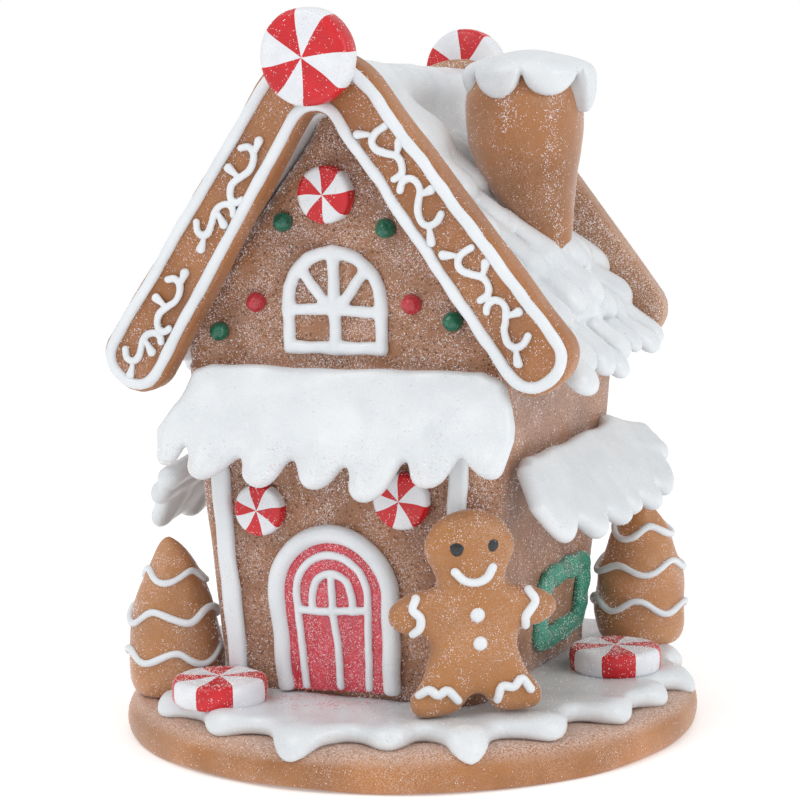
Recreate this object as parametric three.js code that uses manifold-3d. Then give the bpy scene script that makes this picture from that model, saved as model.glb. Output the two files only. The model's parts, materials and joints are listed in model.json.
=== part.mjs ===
// A gingerbread house decoration made of shaped clay dough: a round cookie base with a sheet of
// icing, a flared house with icing awnings and roof, two gable boards, a chimney, peppermints,
// a gingerbread man and two cone trees. Millimetres, +Z up, front towards -Y, origin at the
// middle of the flat underside of the base.
import * as THREE from "three";
import { mergeVertices } from "three/addons/utils/BufferGeometryUtils.js";
import Module from "manifold-3d";

const wasm = await Module();
wasm.setup();

// ---------- driving dimensions ----------
const GAP = 0.3; // clearance between pieces that touch
const BASE = { radius: 80, height: 10, round: 6 };
const SNOW_TOP = 15; // upper face of the icing sheet on the base
const FLOOR = SNOW_TOP + GAP; // what stands on the icing sheet starts here

const HOUSE = {
  x: -0.5, // the house stands a little left of the middle of the base
  half: 37.9, // half width at the floor
  frontY: -42.8,
  rearY: 44,
  cornerRadius: 7,
  sideFlare: 5.5, // degrees that the side walls lean out
  frontLean: 1,
  rearLean: 4,
  setBack: 102, // the two gables above this height stand a little further in than the walls
  gableFrontY: -43.2,
  gableRearY: 41,
  gableLean: 2,
  pitch: 51, // roof slope in degrees
  slopeDistance: 107.5, // from the middle of the base's underside to the roof slope, at right angles
};
const ROOF_ICING = { inner: 107.9, tiers: [3.2, 1.1, 1, 1], reach: [109, 80, 56, 32], ridgeRoll: 4 };

const BOARD = {
  thick: 8,
  anchorZ: 100, // height of each board's own zero, from which its outline is measured
  frontX: 2.3,
  frontY: -51.6,
  frontLean: 5, // degrees that the board leans out at the top
  rearX: -3,
  rearY: 50.4,
  rearLean: 1,
  peak: 97.2, // where the two outer edges would meet
  outerPitch: 53.1,
  notch: 71.3, // where the two inner edges would meet
  innerPitch: 55.8,
  armPitch: 54.4,
  armLength: 95.4, // from the middle at the notch's height down to the arm's end
  outerRound: 20,
  innerRound: 4.5,
  endRound: 8.6,
};
const PIPING = { radius: 1.3, inset: 2 };

const AWNING_FRONT = { top: 101.6, width: 97, x: 1.4, tilt: 24, thick: 4.6 };
const AWNING_REAR = { top: 98, width: 70, x: 0, tilt: 24, thick: 4.6 };
const AWNING_SIDE = { top: 77.5, width: 92, y: 6, tilt: 46, thick: 4.6 };

const DOOR = { half: 19, springZ: 26, lean: 2.3, x: -1, frame: 4.2, depth: 3.2 };
const WINDOW = { half: 13.4, bottom: 5.5, spring: 17.8, top: 30.6, bar: 15.3, radius: 1.8 };
const SIDE_FRAME = { width: 40, height: 24, bar: 6.5, depth: 3.2, along: 14, z: 32 };
const STRIP = { lowX: 31, highX: 35.2, low: 1, high: 78, width: 5.2, depth: 2 };

const CHIMNEY = { x: 34.9, y: 3, top: 177.5, radius: 16.9, capX: 1.4, capLow: 173.5, capTop: 183 };
const MAN = { x: 41.3, y: -51.6, facing: 33, lean: 2, thick: 8 };
const TREE_LEFT = { x: -54.8, y: -38, z: BASE.height + GAP };
const TREE_RIGHT = { x: 53.8, y: 43.6, z: FLOOR };

// ---------- materials ----------
const matte = (color, roughness) => new THREE.MeshStandardMaterial({ color, roughness, metalness: 0 });
const CLAY = matte(0xa96e3e, 0.6);
const ICING = matte(0xe6eaec, 0.45);
const RED = matte(0xc8102a, 0.4);
const GREEN = matte(0x0b6b4a, 0.5);
const BLACK = matte(0x16161a, 0.3);

// ---------- small helpers ----------
const rad = THREE.MathUtils.degToRad;
const v2 = (x, y) => new THREE.Vector2(x, y);
const v3 = (x, y, z) => new THREE.Vector3(x, y, z);
const part = new THREE.Group();

function addMesh(parent, name, geometry, material) {
  const mesh = new THREE.Mesh(geometry, material);
  mesh.name = name;
  parent.add(mesh);
  return mesh;
}

// A closed geometry as a solid that can be joined and cut.
function solid(geometry) {
  const bare = geometry.index ? geometry.toNonIndexed() : geometry.clone();
  bare.deleteAttribute("normal");
  bare.deleteAttribute("uv");
  const merged = mergeVertices(bare, 1e-3);
  return new wasm.Manifold(
    new wasm.Mesh({
      numProp: 3,
      vertProperties: merged.attributes.position.array,
      triVerts: new Uint32Array(merged.index.array),
    }),
  );
}

function geometryOf(made) {
  const mesh = made.getMesh();
  return new THREE.BufferGeometry()
    .setAttribute("position", new THREE.BufferAttribute(mesh.vertProperties, 3))
    .setIndex(new THREE.BufferAttribute(mesh.triVerts, 1));
}

const joined = (geometries) => geometries.map(solid).reduce((a, b) => a.add(b));

// Rings of equal length stacked into a closed body, with flat ends.
function loft(rings) {
  const n = rings[0].length;
  const positions = rings.flat().flatMap((p) => [p.x, p.y, p.z]);
  const index = [];
  for (let k = 0; k + 1 < rings.length; k++)
    for (let i = 0; i < n; i++) {
      const a = k * n + i;
      const b = k * n + ((i + 1) % n);
      index.push(a, b, b + n, a, b + n, a + n);
    }
  const last = (rings.length - 1) * n;
  for (let i = 1; i + 1 < n; i++) {
    index.push(0, i + 1, i);
    index.push(last, last + i, last + i + 1);
  }
  return new THREE.BufferGeometry()
    .setAttribute("position", new THREE.Float32BufferAttribute(positions, 3))
    .setIndex(index);
}

// A body turned round Z whose profile may change with the angle; the profile runs from the
// lowest point on the axis to the highest one as [radius, z] pairs.
function revolve(profileAt, segments) {
  const positions = [];
  const index = [];
  const count = profileAt(0).length - 2;
  const first = profileAt(0);
  positions.push(0, 0, first[0][1]);
  for (let s = 0; s < segments; s++) {
    const angle = (2 * Math.PI * s) / segments;
    for (const [r, z] of profileAt(angle).slice(1, -1))
      positions.push(r * Math.cos(angle), r * Math.sin(angle), z);
  }
  positions.push(0, 0, first.at(-1)[1]);
  const top = 1 + segments * count;
  for (let s = 0; s < segments; s++) {
    const a = 1 + s * count;
    const b = 1 + ((s + 1) % segments) * count;
    index.push(0, b, a);
    for (let k = 0; k + 1 < count; k++) index.push(a + k, b + k, b + k + 1, a + k, b + k + 1, a + k + 1);
    index.push(a + count - 1, b + count - 1, top);
  }
  return new THREE.BufferGeometry()
    .setAttribute("position", new THREE.Float32BufferAttribute(positions, 3))
    .setIndex(index);
}

// A round bead of piping along an open run of points.
function piping(points, radius, steps, sides = 4) {
  const section = new THREE.Shape();
  for (let i = 0; i < sides; i++) {
    const a = (2 * Math.PI * i) / sides;
    const p = [radius * Math.cos(a), radius * Math.sin(a)];
    if (i) section.lineTo(...p);
    else section.moveTo(...p);
  }
  const curve = new THREE.CatmullRomCurve3(points, false, "centripetal");
  return new THREE.ExtrudeGeometry(section, { steps, extrudePath: curve });
}

// A round bead of piping along a closed run of points.
function pipingLoop(points, radius, steps, sides = 4) {
  const curve = new THREE.CatmullRomCurve3(points, true, "centripetal");
  return new THREE.TubeGeometry(curve, steps, radius, sides, true);
}

// A polygon whose corners are rounded, each with its own radius: corners are [x, y, radius].
function roundedShape(corners) {
  const shape = new THREE.Shape();
  corners.forEach(([x, y, radius], i) => {
    const corner = v2(x, y);
    const before = v2(...corners.at(i - 1));
    const after = v2(...corners[(i + 1) % corners.length]);
    const back = before.sub(corner).normalize();
    const on = after.sub(corner).normalize();
    const turn = Math.PI - Math.acos(THREE.MathUtils.clamp(back.dot(on), -1, 1));
    const reach = radius * Math.tan(turn / 2);
    const handle = reach - (4 / 3) * Math.tan(turn / 4) * radius;
    const start = corner.clone().addScaledVector(back, reach);
    const end = corner.clone().addScaledVector(on, reach);
    const c1 = corner.clone().addScaledVector(back, handle);
    const c2 = corner.clone().addScaledVector(on, handle);
    if (i) shape.lineTo(start.x, start.y);
    else shape.moveTo(start.x, start.y);
    shape.bezierCurveTo(c1.x, c1.y, c2.x, c2.y, end.x, end.y);
  });
  shape.closePath();
  return shape;
}

// A flat piece with softened edges, standing on the local plane z = 0.
function slab(shape, depth, bevel, curveSegments = 4) {
  const geometry = new THREE.ExtrudeGeometry(shape, {
    bevelEnabled: bevel > 0,
    depth: depth - 2 * bevel,
    bevelThickness: bevel,
    bevelSize: bevel,
    bevelOffset: -bevel,
    bevelSegments: 1,
    curveSegments,
  });
  return geometry.translate(0, 0, bevel);
}

// A frame on a leaning face: local X runs along it, local Y up it and local Z out of it.
// turn 0 faces the front, 90 the right side, 180 the rear and -90 the left side.
function faceFrame(x, y, z, turn, lean) {
  const frame = new THREE.Group();
  frame.position.set(x, y, z);
  frame.rotation.order = "ZXY";
  frame.rotation.set(rad(90 + lean), 0, rad(turn));
  part.add(frame);
  return frame;
}

// The lower edge of an icing sheet: each lobe is [width, drop], and the edge sinks to full drop
// in the middle of the lobe and rises to a narrow valley between two lobes.
function lobedEdge(lobes, x0, level, samples) {
  const points = [];
  let x = x0;
  for (const [width, drop] of lobes) {
    for (const t of samples)
      points.push(v2(x + width * t, level - drop * Math.sin(Math.PI * t) ** 0.55));
    x += width;
  }
  points.push(v2(x, level));
  return points;
}

// An icing sheet hanging down from y = 0, centred on x = 0, with a lobed lower edge.
function icingSheet(lobes, level, thick, slant, soft = 1.2, samples = [0, 0.2, 0.5, 0.8]) {
  const width = lobes.reduce((sum, [w]) => sum + w, 0);
  const edge = lobedEdge(lobes, -width / 2, -level, samples);
  const outline = [v2(width / 2 + slant[1], 0), v2(-width / 2 - slant[0], 0), ...edge];
  return slab(new THREE.Shape(outline), thick, soft);
}

// ---------- base and its icing sheet ----------
const { radius: R, height: H, round: Q } = BASE;
const baseProfile = [[0, 0], [R - 1.8, 0], [R, 2.4], [R - 0.15 * Q, H - 0.5 * Q], [R - Q, H], [0, H]];
addMesh(part, "base", revolve(() => baseProfile, 40), CLAY);

// Lobes and bays of the icing sheet round the base: [angle in degrees, radius].
const SNOW_EDGE = [[-150, 66], [-135, 71], [-127, 76.5], [-117, 72.5], [-108, 76.5], [-99, 71], [-89, 79],
  [-79, 69], [-71, 75], [-64, 68], [-56, 79], [-48, 71], [-38, 75.5], [-28, 67], [-20, 75.5], [-11, 71.5],
  [-4, 75.5], [3, 71], [12, 78.5], [22, 73], [32, 78], [45, 72], [58, 77], [72, 71], [86, 77.5], [101, 70.5],
  [115, 76], [129, 71], [143, 77], [157, 70], [170, 76], [182, 69], [194, 75.5], [203, 68]];
function snowRadius(angle) {
  const a = THREE.MathUtils.euclideanModulo(THREE.MathUtils.radToDeg(angle) + 150, 360) - 150;
  const next = SNOW_EDGE.findIndex(([edge]) => edge > a);
  const [a0, r0] = SNOW_EDGE.at(next < 0 ? -1 : next - 1);
  const [a1, r1] = next < 0 ? [210, SNOW_EDGE[0][1]] : SNOW_EDGE[next];
  return r0 + ((r1 - r0) * (1 - Math.cos((Math.PI * (a - a0)) / (a1 - a0)))) / 2;
}
const snowProfile = (angle) => {
  const r = snowRadius(angle);
  return [[0, H + GAP], [r - 1.5, H + GAP], [r, H + 2], [r - 1.2, SNOW_TOP - 1], [r - 4, SNOW_TOP], [0, SNOW_TOP]];
};
const treeClearance = new THREE.CylinderGeometry(13.6, 13.6, 20, 20)
  .rotateX(Math.PI / 2)
  .translate(TREE_LEFT.x, TREE_LEFT.y, SNOW_TOP);
const groundSnow = solid(revolve(snowProfile, 54)).subtract(solid(treeClearance));
addMesh(part, "ground_snow", geometryOf(groundSnow), ICING);

// ---------- house body ----------
const pitch = rad(HOUSE.pitch);
// Half width of the gable at a height, under the roof slope.
const slopeHalf = (z) => (HOUSE.slopeDistance - z * Math.cos(pitch)) / Math.sin(pitch);

// One level ring of the house: a rectangle with round corners.
function houseRing(z) {
  const up = z - FLOOR;
  const flare = up * Math.tan(rad(HOUSE.sideFlare));
  const above = z - HOUSE.setBack;
  const front = above < 0
    ? HOUSE.frontY - up * Math.tan(rad(HOUSE.frontLean))
    : HOUSE.gableFrontY - above * Math.tan(rad(HOUSE.gableLean));
  const rear = above < 0
    ? HOUSE.rearY + up * Math.tan(rad(HOUSE.rearLean))
    : HOUSE.gableRearY + above * Math.tan(rad(HOUSE.gableLean));
  const limit = slopeHalf(z);
  const half = Math.min(HOUSE.half + flare, limit);
  const r = Math.min(HOUSE.cornerRadius, Math.max(limit - 0.5, 0.5));
  const corners = [[front, -1, 1], [rear, 1, 1], [rear, 1, -1], [front, -1, -1]];
  return corners.flatMap(([y, end, side], c) =>
    [0, 30, 60, 90].map((step) => {
      const a = rad(-90 + 90 * c + step);
      const cx = HOUSE.x + side * (half - r);
      return v3(cx + r * Math.cos(a), y - end * r + r * Math.sin(a), z);
    }),
  );
}
const ridgeZ = HOUSE.slopeDistance / Math.cos(pitch);
const houseHeights = [FLOOR, 55, 96, HOUSE.setBack, 111, 125, 140, 155, ridgeZ - 2];
addMesh(part, "house_body", loft(houseHeights.map((z) => houseRing(z))), CLAY);

// ---------- roof icing ----------
// Three shingled sheets on each slope, joined over the ridge by a soft roll.
const ROOF_LOBES = {
  right: [
    [[15, 8], [12, 11], [14, 7], [13, 10], [12, 6], [14, 10], [13, 8]],
    [[17, 8], [14, 7], [15, 10], [14, 7], [16, 9], [17, 8]],
    [[15, 7], [17, 9], [14, 7], [17, 8], [15, 8], [15, 7]],
    [[18, 7], [20, 9], [18, 7], [20, 8], [17, 7]],
  ],
  left: [
    [[13, 9], [14, 7], [13, 11], [13, 8], [14, 10], [12, 7], [14, 9]],
    [[16, 8], [16, 9], [14, 7], [17, 8], [14, 9], [16, 7]],
    [[14, 8], [16, 7], [15, 9], [17, 8], [14, 7], [17, 8]],
    [[19, 8], [18, 7], [20, 9], [17, 7], [19, 8]],
  ],
};
const roofOuter = ROOF_ICING.inner + ROOF_ICING.tiers.reduce((a, b) => a + b);
const boardBackAt = (z) =>
  BOARD.frontY + BOARD.thick / Math.cos(rad(BOARD.frontLean)) - (z - BOARD.anchorZ) * Math.tan(rad(BOARD.frontLean));
const rearBoardFaceAt = (z) =>
  BOARD.rearY - BOARD.thick / Math.cos(rad(BOARD.rearLean)) + (z - BOARD.anchorZ) * Math.tan(rad(BOARD.rearLean));
const eaveLow = 92;

function roofSheet(side, tier) {
  const lobes = ROOF_LOBES[side][tier];
  const width = lobes.reduce((sum, [w]) => sum + w, 0);
  const lowFront = boardBackAt(eaveLow) + GAP;
  const lowRear = rearBoardFaceAt(eaveLow) - GAP;
  const slants = [lowFront - boardBackAt(ridgeZ) - GAP, rearBoardFaceAt(ridgeZ) - lowRear - GAP];
  const stretch = (lowRear - lowFront) / width;
  const scaled = lobes.map(([w, d]) => [w * stretch, d]);
  const ordered = side === "right" ? scaled : scaled.toReversed();
  const thickness = ROOF_ICING.tiers.slice(0, tier + 1).reduce((a, b) => a + b);
  const top = roofOuter * Math.tan(pitch) + 4;
  const level = ROOF_ICING.reach[tier] - 5;
  const slant = side === "right" ? slants : slants.toReversed();
  const sheet = icingSheet(ordered, level, thickness, slant, 0, [0, 0.3, 0.7]);
  const turn = side === "right" ? 1 : -1;
  return sheet
    .translate(turn * ((lowFront + lowRear) / 2), top, 0)
    .rotateX(Math.PI / 2)
    .translate(0, -ROOF_ICING.inner, 0)
    .rotateX(pitch - Math.PI / 2)
    .rotateZ((turn * Math.PI) / 2)
    .translate(HOUSE.x, 0, 0);
}
// The sheets of one slope, cut just past the ridge.
function roofSlope(side) {
  const sheets = [0, 1, 2, 3].map((tier) => roofSheet(side, tier));
  const past = side === "right" ? -1 : 1;
  const beyond = new THREE.BoxGeometry(100, 200, 400).translate(HOUSE.x + past * 50.5, 0, 100);
  return joined(sheets).subtract(solid(beyond));
}
const ridgeTop = roofOuter / Math.cos(pitch);
const ridgeFront = boardBackAt(ridgeTop) + GAP + 1;
const ridgeRear = rearBoardFaceAt(ridgeTop) - GAP - 1;
const ridgeRoll = new THREE.CylinderGeometry(ROOF_ICING.ridgeRoll, ROOF_ICING.ridgeRoll, ridgeRear - ridgeFront, 10)
  .translate(0, (ridgeRear + ridgeFront) / 2, 0)
  .translate(HOUSE.x, 0, ridgeTop - ROOF_ICING.ridgeRoll - 1.2);
const roofIcing = roofSlope("right").add(roofSlope("left")).add(solid(ridgeRoll));
addMesh(part, "roof_icing", geometryOf(roofIcing), ICING);

// ---------- gable boards ----------
// Where the line through (0, y) that falls at one pitch meets the line square to the arms' ends.
function armCorner(y, fall, reach) {
  const arm = rad(BOARD.armPitch);
  const slope = rad(fall);
  const along = (reach - y * -Math.sin(arm)) / Math.cos(arm - slope);
  return [along * Math.cos(slope), y - along * Math.sin(slope)];
}
// Corners of a gable board's outline, inset from its edge: two arms with round ends under a soft peak.
function boardCorners(inset) {
  const peak = BOARD.peak - inset / Math.cos(rad(BOARD.outerPitch));
  const notch = BOARD.notch + inset / Math.cos(rad(BOARD.innerPitch));
  const reach = BOARD.armLength - BOARD.notch * Math.sin(rad(BOARD.armPitch)) - inset;
  const [ox, oy] = armCorner(peak, BOARD.outerPitch, reach);
  const [ix, iy] = armCorner(notch, BOARD.innerPitch, reach);
  const round = BOARD.endRound - inset;
  return [[0, peak, BOARD.outerRound - inset], [-ox, oy, round], [-ix, iy, round],
    [0, notch, BOARD.innerRound + inset], [ix, iy, round], [ox, oy, round]];
}
const boardShape = roundedShape(boardCorners(0));
const loopPoints = roundedShape(boardCorners(PIPING.inset))
  .getSpacedPoints(40)
  .slice(0, -1)
  .map((p) => v3(p.x, p.y, 0));

function gableBoard(name, frame) {
  addMesh(frame, "gable_board_" + name, slab(boardShape, BOARD.thick, 1.4, 3).translate(0, 0, -BOARD.thick), CLAY);
  const loop = pipingLoop(loopPoints, PIPING.radius, 34);
  addMesh(frame, "board_piping_" + name, loop.translate(0, 0, PIPING.radius + GAP), ICING);
}
const frontBoard = faceFrame(BOARD.frontX, BOARD.frontY, BOARD.anchorZ, 0, BOARD.frontLean);
const rearBoard = faceFrame(BOARD.rearX, BOARD.rearY, BOARD.anchorZ, 180, BOARD.rearLean);
gableBoard("front", frontBoard);
gableBoard("rear", rearBoard);

// A scroll of piping along an arm of the board: an S-shaped stem with short dabs at its bends.
const SCROLL = { radius: 1, stem: [[-13, 2.2], [-9, -1.8], [-4.5, -2.4], [-1, 1.2], [3.5, 2.6], [7, -1.2], [12, -2.6]],
  dabs: [[-10.6, -0.4, 2.6, 3.2], [-1.8, -0.6, 2.2, -3.6], [5.4, 1.4, 3, 3], [-5.5, -2.2, 1.6, -3]] };
function scroll(name, along, side, flip) {
  const arm = rad(BOARD.armPitch);
  const place = new THREE.Group();
  place.position.set(side * along * Math.cos(arm), scrollTop - along * Math.sin(arm), SCROLL.radius + GAP);
  place.rotation.z = side > 0 ? -arm : Math.PI + arm;
  frontBoard.add(place);
  const at = (x, y) => v3(x, flip * (y * 0.9 + 0.1), 0);
  const stem = piping(SCROLL.stem.map((p) => at(...p)), SCROLL.radius, 8);
  const dabs = SCROLL.dabs.map(([x, y, dx, dy]) => piping([at(x, y), at(x + dx, y + dy)], SCROLL.radius * 0.9, 1));
  addMesh(place, name, geometryOf(joined([stem, ...dabs])), ICING);
}
const scrollTop = (BOARD.peak + BOARD.notch) / 2;
scroll("scroll_upper_left", 44.5, -1, -1);
scroll("scroll_lower_left", 81, -1, -1);
scroll("scroll_upper_right", 44.5, 1, 1);
scroll("scroll_lower_right", 81, 1, 1);

// ---------- chimney ----------
const chimneyProfile = [[0, 117], [5, 118], [9, 123], [12, 131], [14.4, 141], [16.3, 154],
  [CHIMNEY.radius, 164], [CHIMNEY.radius - 0.7, 172], [CHIMNEY.radius - 3.5, CHIMNEY.top], [0, CHIMNEY.top]];
const chimneyBody = solid(revolve(() => chimneyProfile, 16)).translate([CHIMNEY.x, CHIMNEY.y, 0]);
const slopeWedge = new THREE.BoxGeometry(400, 300, 300)
  .translate(0, 0, ROOF_ICING.inner + 1 - 150)
  .rotateY(pitch)
  .translate(HOUSE.x, 0, 0);
const clearIcing = roofIcing.translate([GAP * Math.sin(pitch), 0, GAP * Math.cos(pitch)]);
const chimney = chimneyBody.subtract(solid(slopeWedge)).subtract(roofIcing).subtract(clearIcing);
addMesh(part, "chimney", geometryOf(chimney), CLAY);

// Cap of icing over the rim, with hanging lobes.
const CAP_LOBES = 7;
const capProfile = (angle) => {
  const wave = 0.5 + 0.5 * Math.cos(CAP_LOBES * angle + 0.6);
  const low = CHIMNEY.capLow + 2.2 - 3.4 * wave;
  const rim = CHIMNEY.radius + 0.2;
  return [[0, CHIMNEY.top + GAP], [rim - 1.9, CHIMNEY.top + GAP], [rim - 0.4, low + 0.8], [rim + 0.4, low],
    [rim + 1.6, low + 2], [rim + 0.8, CHIMNEY.top + 1.4], [12.5, CHIMNEY.capTop - 0.8], [0, CHIMNEY.capTop]];
};
const capPlace = (geometry) => geometry.translate(CHIMNEY.x + CHIMNEY.capX, CHIMNEY.y, 0);
const chimneyRoom = chimneyBody.scale([1.03, 1.03, 1]).translate([-0.03 * CHIMNEY.x, -0.03 * CHIMNEY.y, GAP]);
const cap = solid(capPlace(revolve(capProfile, 24))).subtract(chimneyBody).subtract(chimneyRoom);
addMesh(part, "chimney_icing", geometryOf(cap), ICING);

// ---------- walls' frames ----------
const midY = (HOUSE.frontY + HOUSE.rearY) / 2;
const frontWall = faceFrame(HOUSE.x, HOUSE.frontY, FLOOR, 0, HOUSE.frontLean);
const rearWall = faceFrame(HOUSE.x, HOUSE.rearY, FLOOR, 180, HOUSE.rearLean);
const frontGable = faceFrame(HOUSE.x, HOUSE.gableFrontY, HOUSE.setBack, 0, HOUSE.gableLean);
const rearGable = faceFrame(HOUSE.x, HOUSE.gableRearY, HOUSE.setBack, 180, HOUSE.gableLean);
const rightWall = faceFrame(HOUSE.x + HOUSE.half, midY, FLOOR, 90, HOUSE.sideFlare);
const leftWall = faceFrame(HOUSE.x - HOUSE.half, midY, FLOOR, -90, HOUSE.sideFlare);

// ---------- awnings of icing ----------
const AWNING_LOBES = {
  front: [[10, 7], [14.4, 8.5], [14.4, 8], [16.3, 7], [16, 10], [17.5, 6.5], [13, 5]],
  rear: [[12, 6], [15, 9], [14, 8], [15, 10], [15, 9], [13, 10], [12, 6]],
  right: [[21, 8], [19, 9], [13, 8], [12, 7], [13, 9], [12, 8]],
  left: [[12, 8], [14, 9], [13, 7], [14, 9], [18, 8], [19, 9]],
};
function awning(name, frame, spec, shift, level, slant) {
  const lobes = AWNING_LOBES[name];
  const width = lobes.reduce((sum, [w]) => sum + w, 0);
  const scaled = lobes.map(([w, d]) => [(w * spec.width) / width, d]);
  const sheet = icingSheet(scaled, level, spec.thick, slant)
    .translate(shift, 0, 0)
    .rotateX(-rad(spec.tilt))
    .translate(0, spec.top - FLOOR, GAP + 0.2);
  const wall = new THREE.BoxGeometry(200, 200, 40).translate(0, 60, GAP - 20);
  addMesh(frame, "awning_" + name, geometryOf(solid(sheet).subtract(solid(wall))), ICING);
}
awning("front", frontWall, AWNING_FRONT, AWNING_FRONT.x - HOUSE.x, 24, [-5, -1]);
awning("rear", rearWall, AWNING_REAR, AWNING_REAR.x, 23, [-2, -2]);
awning("right", rightWall, AWNING_SIDE, AWNING_SIDE.y - midY, 21, [-1, 0]);
awning("left", leftWall, AWNING_SIDE, midY - AWNING_SIDE.y, 21, [0, -1]);

// ---------- front wall: strips, door, gable window ----------
for (const [name, side] of [["left", -1], ["right", 1]]) {
  const low = side * STRIP.lowX;
  const high = side * STRIP.highX;
  const half = STRIP.width / 2;
  const shape = roundedShape([[low - half, STRIP.low, 1.5], [low + half, STRIP.low, 1.5],
    [high + half, STRIP.high, 1.5], [high - half, STRIP.high, 1.5]]);
  addMesh(frontWall, "corner_strip_" + name, slab(shape, STRIP.depth, 0.7, 2).translate(0, 0, GAP), ICING);
}

// An arch standing on y = 0: straight legs, slightly drawn in at the feet, and a round head.
function archPoints(half, spring, foot, steps) {
  const points = [v2(half * foot, 0)];
  for (let i = 0; i <= steps; i++) {
    const a = (Math.PI * i) / steps;
    points.push(v2(half * Math.cos(a), spring + half * Math.sin(a)));
  }
  points.push(v2(-half * foot, 0));
  return points;
}
const door = new THREE.Group();
door.position.set(DOOR.x, 1, 0);
door.rotation.z = rad(DOOR.lean);
frontWall.add(door);
const innerHalf = DOOR.half - DOOR.frame;
addMesh(door, "door_frame", slab(frameOutline(), DOOR.depth, 0.9).translate(0, 0, GAP), ICING);
addMesh(door, "door_panel",
  slab(new THREE.Shape(archPoints(innerHalf - GAP, DOOR.springZ, 0.93, 10)), 1.6, 0.4).translate(0, 0, GAP), RED);

// The frame as one bent band: up one leg, over the head and down the other.
function frameOutline() {
  const outer = archPoints(DOOR.half, DOOR.springZ, 0.93, 10);
  const inner = archPoints(innerHalf, DOOR.springZ, 0.91, 10).reverse();
  return new THREE.Shape([...outer, ...inner]);
}
const onPanel = 1.6 + 2 * GAP + 1;
const lift = (points) => points.map((p) => v3(p.x, p.y, onPanel));
const doorPiping = joined([
  piping(lift(archPoints(10.4, 25.5, 0.88, 6).map((p) => p.add(v2(0, 1)))), 1, 14),
  piping(lift([v2(-5.8, 22), v2(-5.6, 26), v2(-3.8, 30), v2(0, 31.6), v2(3.8, 30), v2(5.6, 26), v2(5.8, 22)]), 0.9, 8),
  piping(lift([v2(-9.8, 22), v2(9.8, 22)]), 0.9, 1),
  piping(lift([v2(0, 1), v2(0, 31)]), 0.95, 1),
]);
addMesh(door, "door_piping", geometryOf(doorPiping), ICING);

// Window of piping: a round-headed outline with a cross and two slanting bars.
function gableWindow(name, frame) {
  const { half, bottom, spring, top, bar, radius } = WINDOW;
  const rise = top - spring;
  const head = [0, 36, 72, 108, 144, 180].map((a) =>
    v3(half * Math.cos(rad(a)), spring + rise * Math.sin(rad(a)), 0));
  const outline = [v3(half, bottom, 0), ...head, v3(-half, bottom, 0), v3(0, bottom, 0)];
  const bars = [
    [v3(-half, bar, 0), v3(half, bar, 0)],
    [v3(0, bottom, 0), v3(0, top, 0)],
    [v3(-1, bar, 0), v3(-half * 0.66, spring + rise * 0.7, 0)],
    [v3(1, bar, 0), v3(half * 0.66, spring + rise * 0.7, 0)],
  ].map((ends) => piping(ends, radius * 0.8, 1));
  const made = joined([pipingLoop(outline, radius, 18), ...bars]).translate([0, 0, radius + GAP]);
  addMesh(frame, "gable_window_" + name, geometryOf(made), ICING);
}
gableWindow("front", frontGable);
gableWindow("rear", rearGable);

// ---------- green frames on the side walls ----------
function sideFrame(name, frame, along) {
  const { width, height, bar, depth } = SIDE_FRAME;
  const ring = (w, h, r) => [[-w / 2, -h / 2, r], [w / 2, -h / 2, r], [w / 2, h / 2, r], [-w / 2, h / 2, r]];
  const shape = roundedShape(ring(width, height, 3));
  shape.holes.push(roundedShape(ring(width - 2 * bar, height - 2 * bar, 1.5)));
  const up = SIDE_FRAME.z - FLOOR;
  addMesh(frame, "side_frame_" + name, slab(shape, depth, 0.9, 2).translate(along, up, GAP), GREEN);
}
sideFrame("right", rightWall, SIDE_FRAME.along - midY);
sideFrame("left", leftWall, midY - SIDE_FRAME.along);

// ---------- peppermints and beads ----------
// A round sweet with softened edges, lying on the local plane z = 0.
function mint(parent, name, diameter, thick, x, y, z = GAP) {
  const r = diameter / 2;
  const soft = thick * 0.22;
  const profile = [[0, 0], [r, 0], [r, thick - soft], [r - soft, thick], [0, thick]];
  addMesh(parent, name, revolve(() => profile, 14).translate(x, y, z), ICING);
}
const peakUp = 82;
mint(frontBoard, "mint_peak_front", 24, 7, 0.8, peakUp, 2 * PIPING.radius + 2 * GAP);
mint(rearBoard, "mint_peak_rear", 24, 7, 1, peakUp - 1, 2 * PIPING.radius + 2 * GAP);
mint(frontGable, "mint_gable", 14.8, 4.4, -0.5, 147.2 - HOUSE.setBack);
mint(frontWall, "mint_door_left", 13.8, 4, -22.4, 64.2 - FLOOR);
mint(frontWall, "mint_door_right", 15, 4, 18.7, 68.8 - FLOOR);
mint(part, "mint_ground_left", 25, 6.2, -29.8, -57.9, FLOOR);
mint(part, "mint_ground_right", 25, 6.2, 57, 10, FLOOR);

// Round beads pressed on the gable: [name, diameter, across, height, material].
const BEADS = [["bead_green_1", 5.6, -13.9, 140.1, GREEN], ["bead_green_2", 5.6, 15.2, 138.4, GREEN],
  ["bead_green_3", 5.6, -34, 111.2, GREEN], ["bead_green_4", 5.6, 33, 115, GREEN],
  ["bead_red_1", 5, -22.7, 119.1, RED], ["bead_red_2", 5, 21.7, 119.2, RED]];
for (const [name, diameter, x, z, material] of BEADS) {
  const bead = new THREE.SphereGeometry(diameter / 2, 6, 5).translate(x, z - HOUSE.setBack, diameter / 2 + GAP);
  addMesh(frontGable, name, bead, material);
}

// ---------- gingerbread man ----------
const man = faceFrame(MAN.x, MAN.y, FLOOR, MAN.facing, 0);
const figure = new THREE.Group();
figure.rotation.z = rad(MAN.lean);
man.add(figure);
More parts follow.
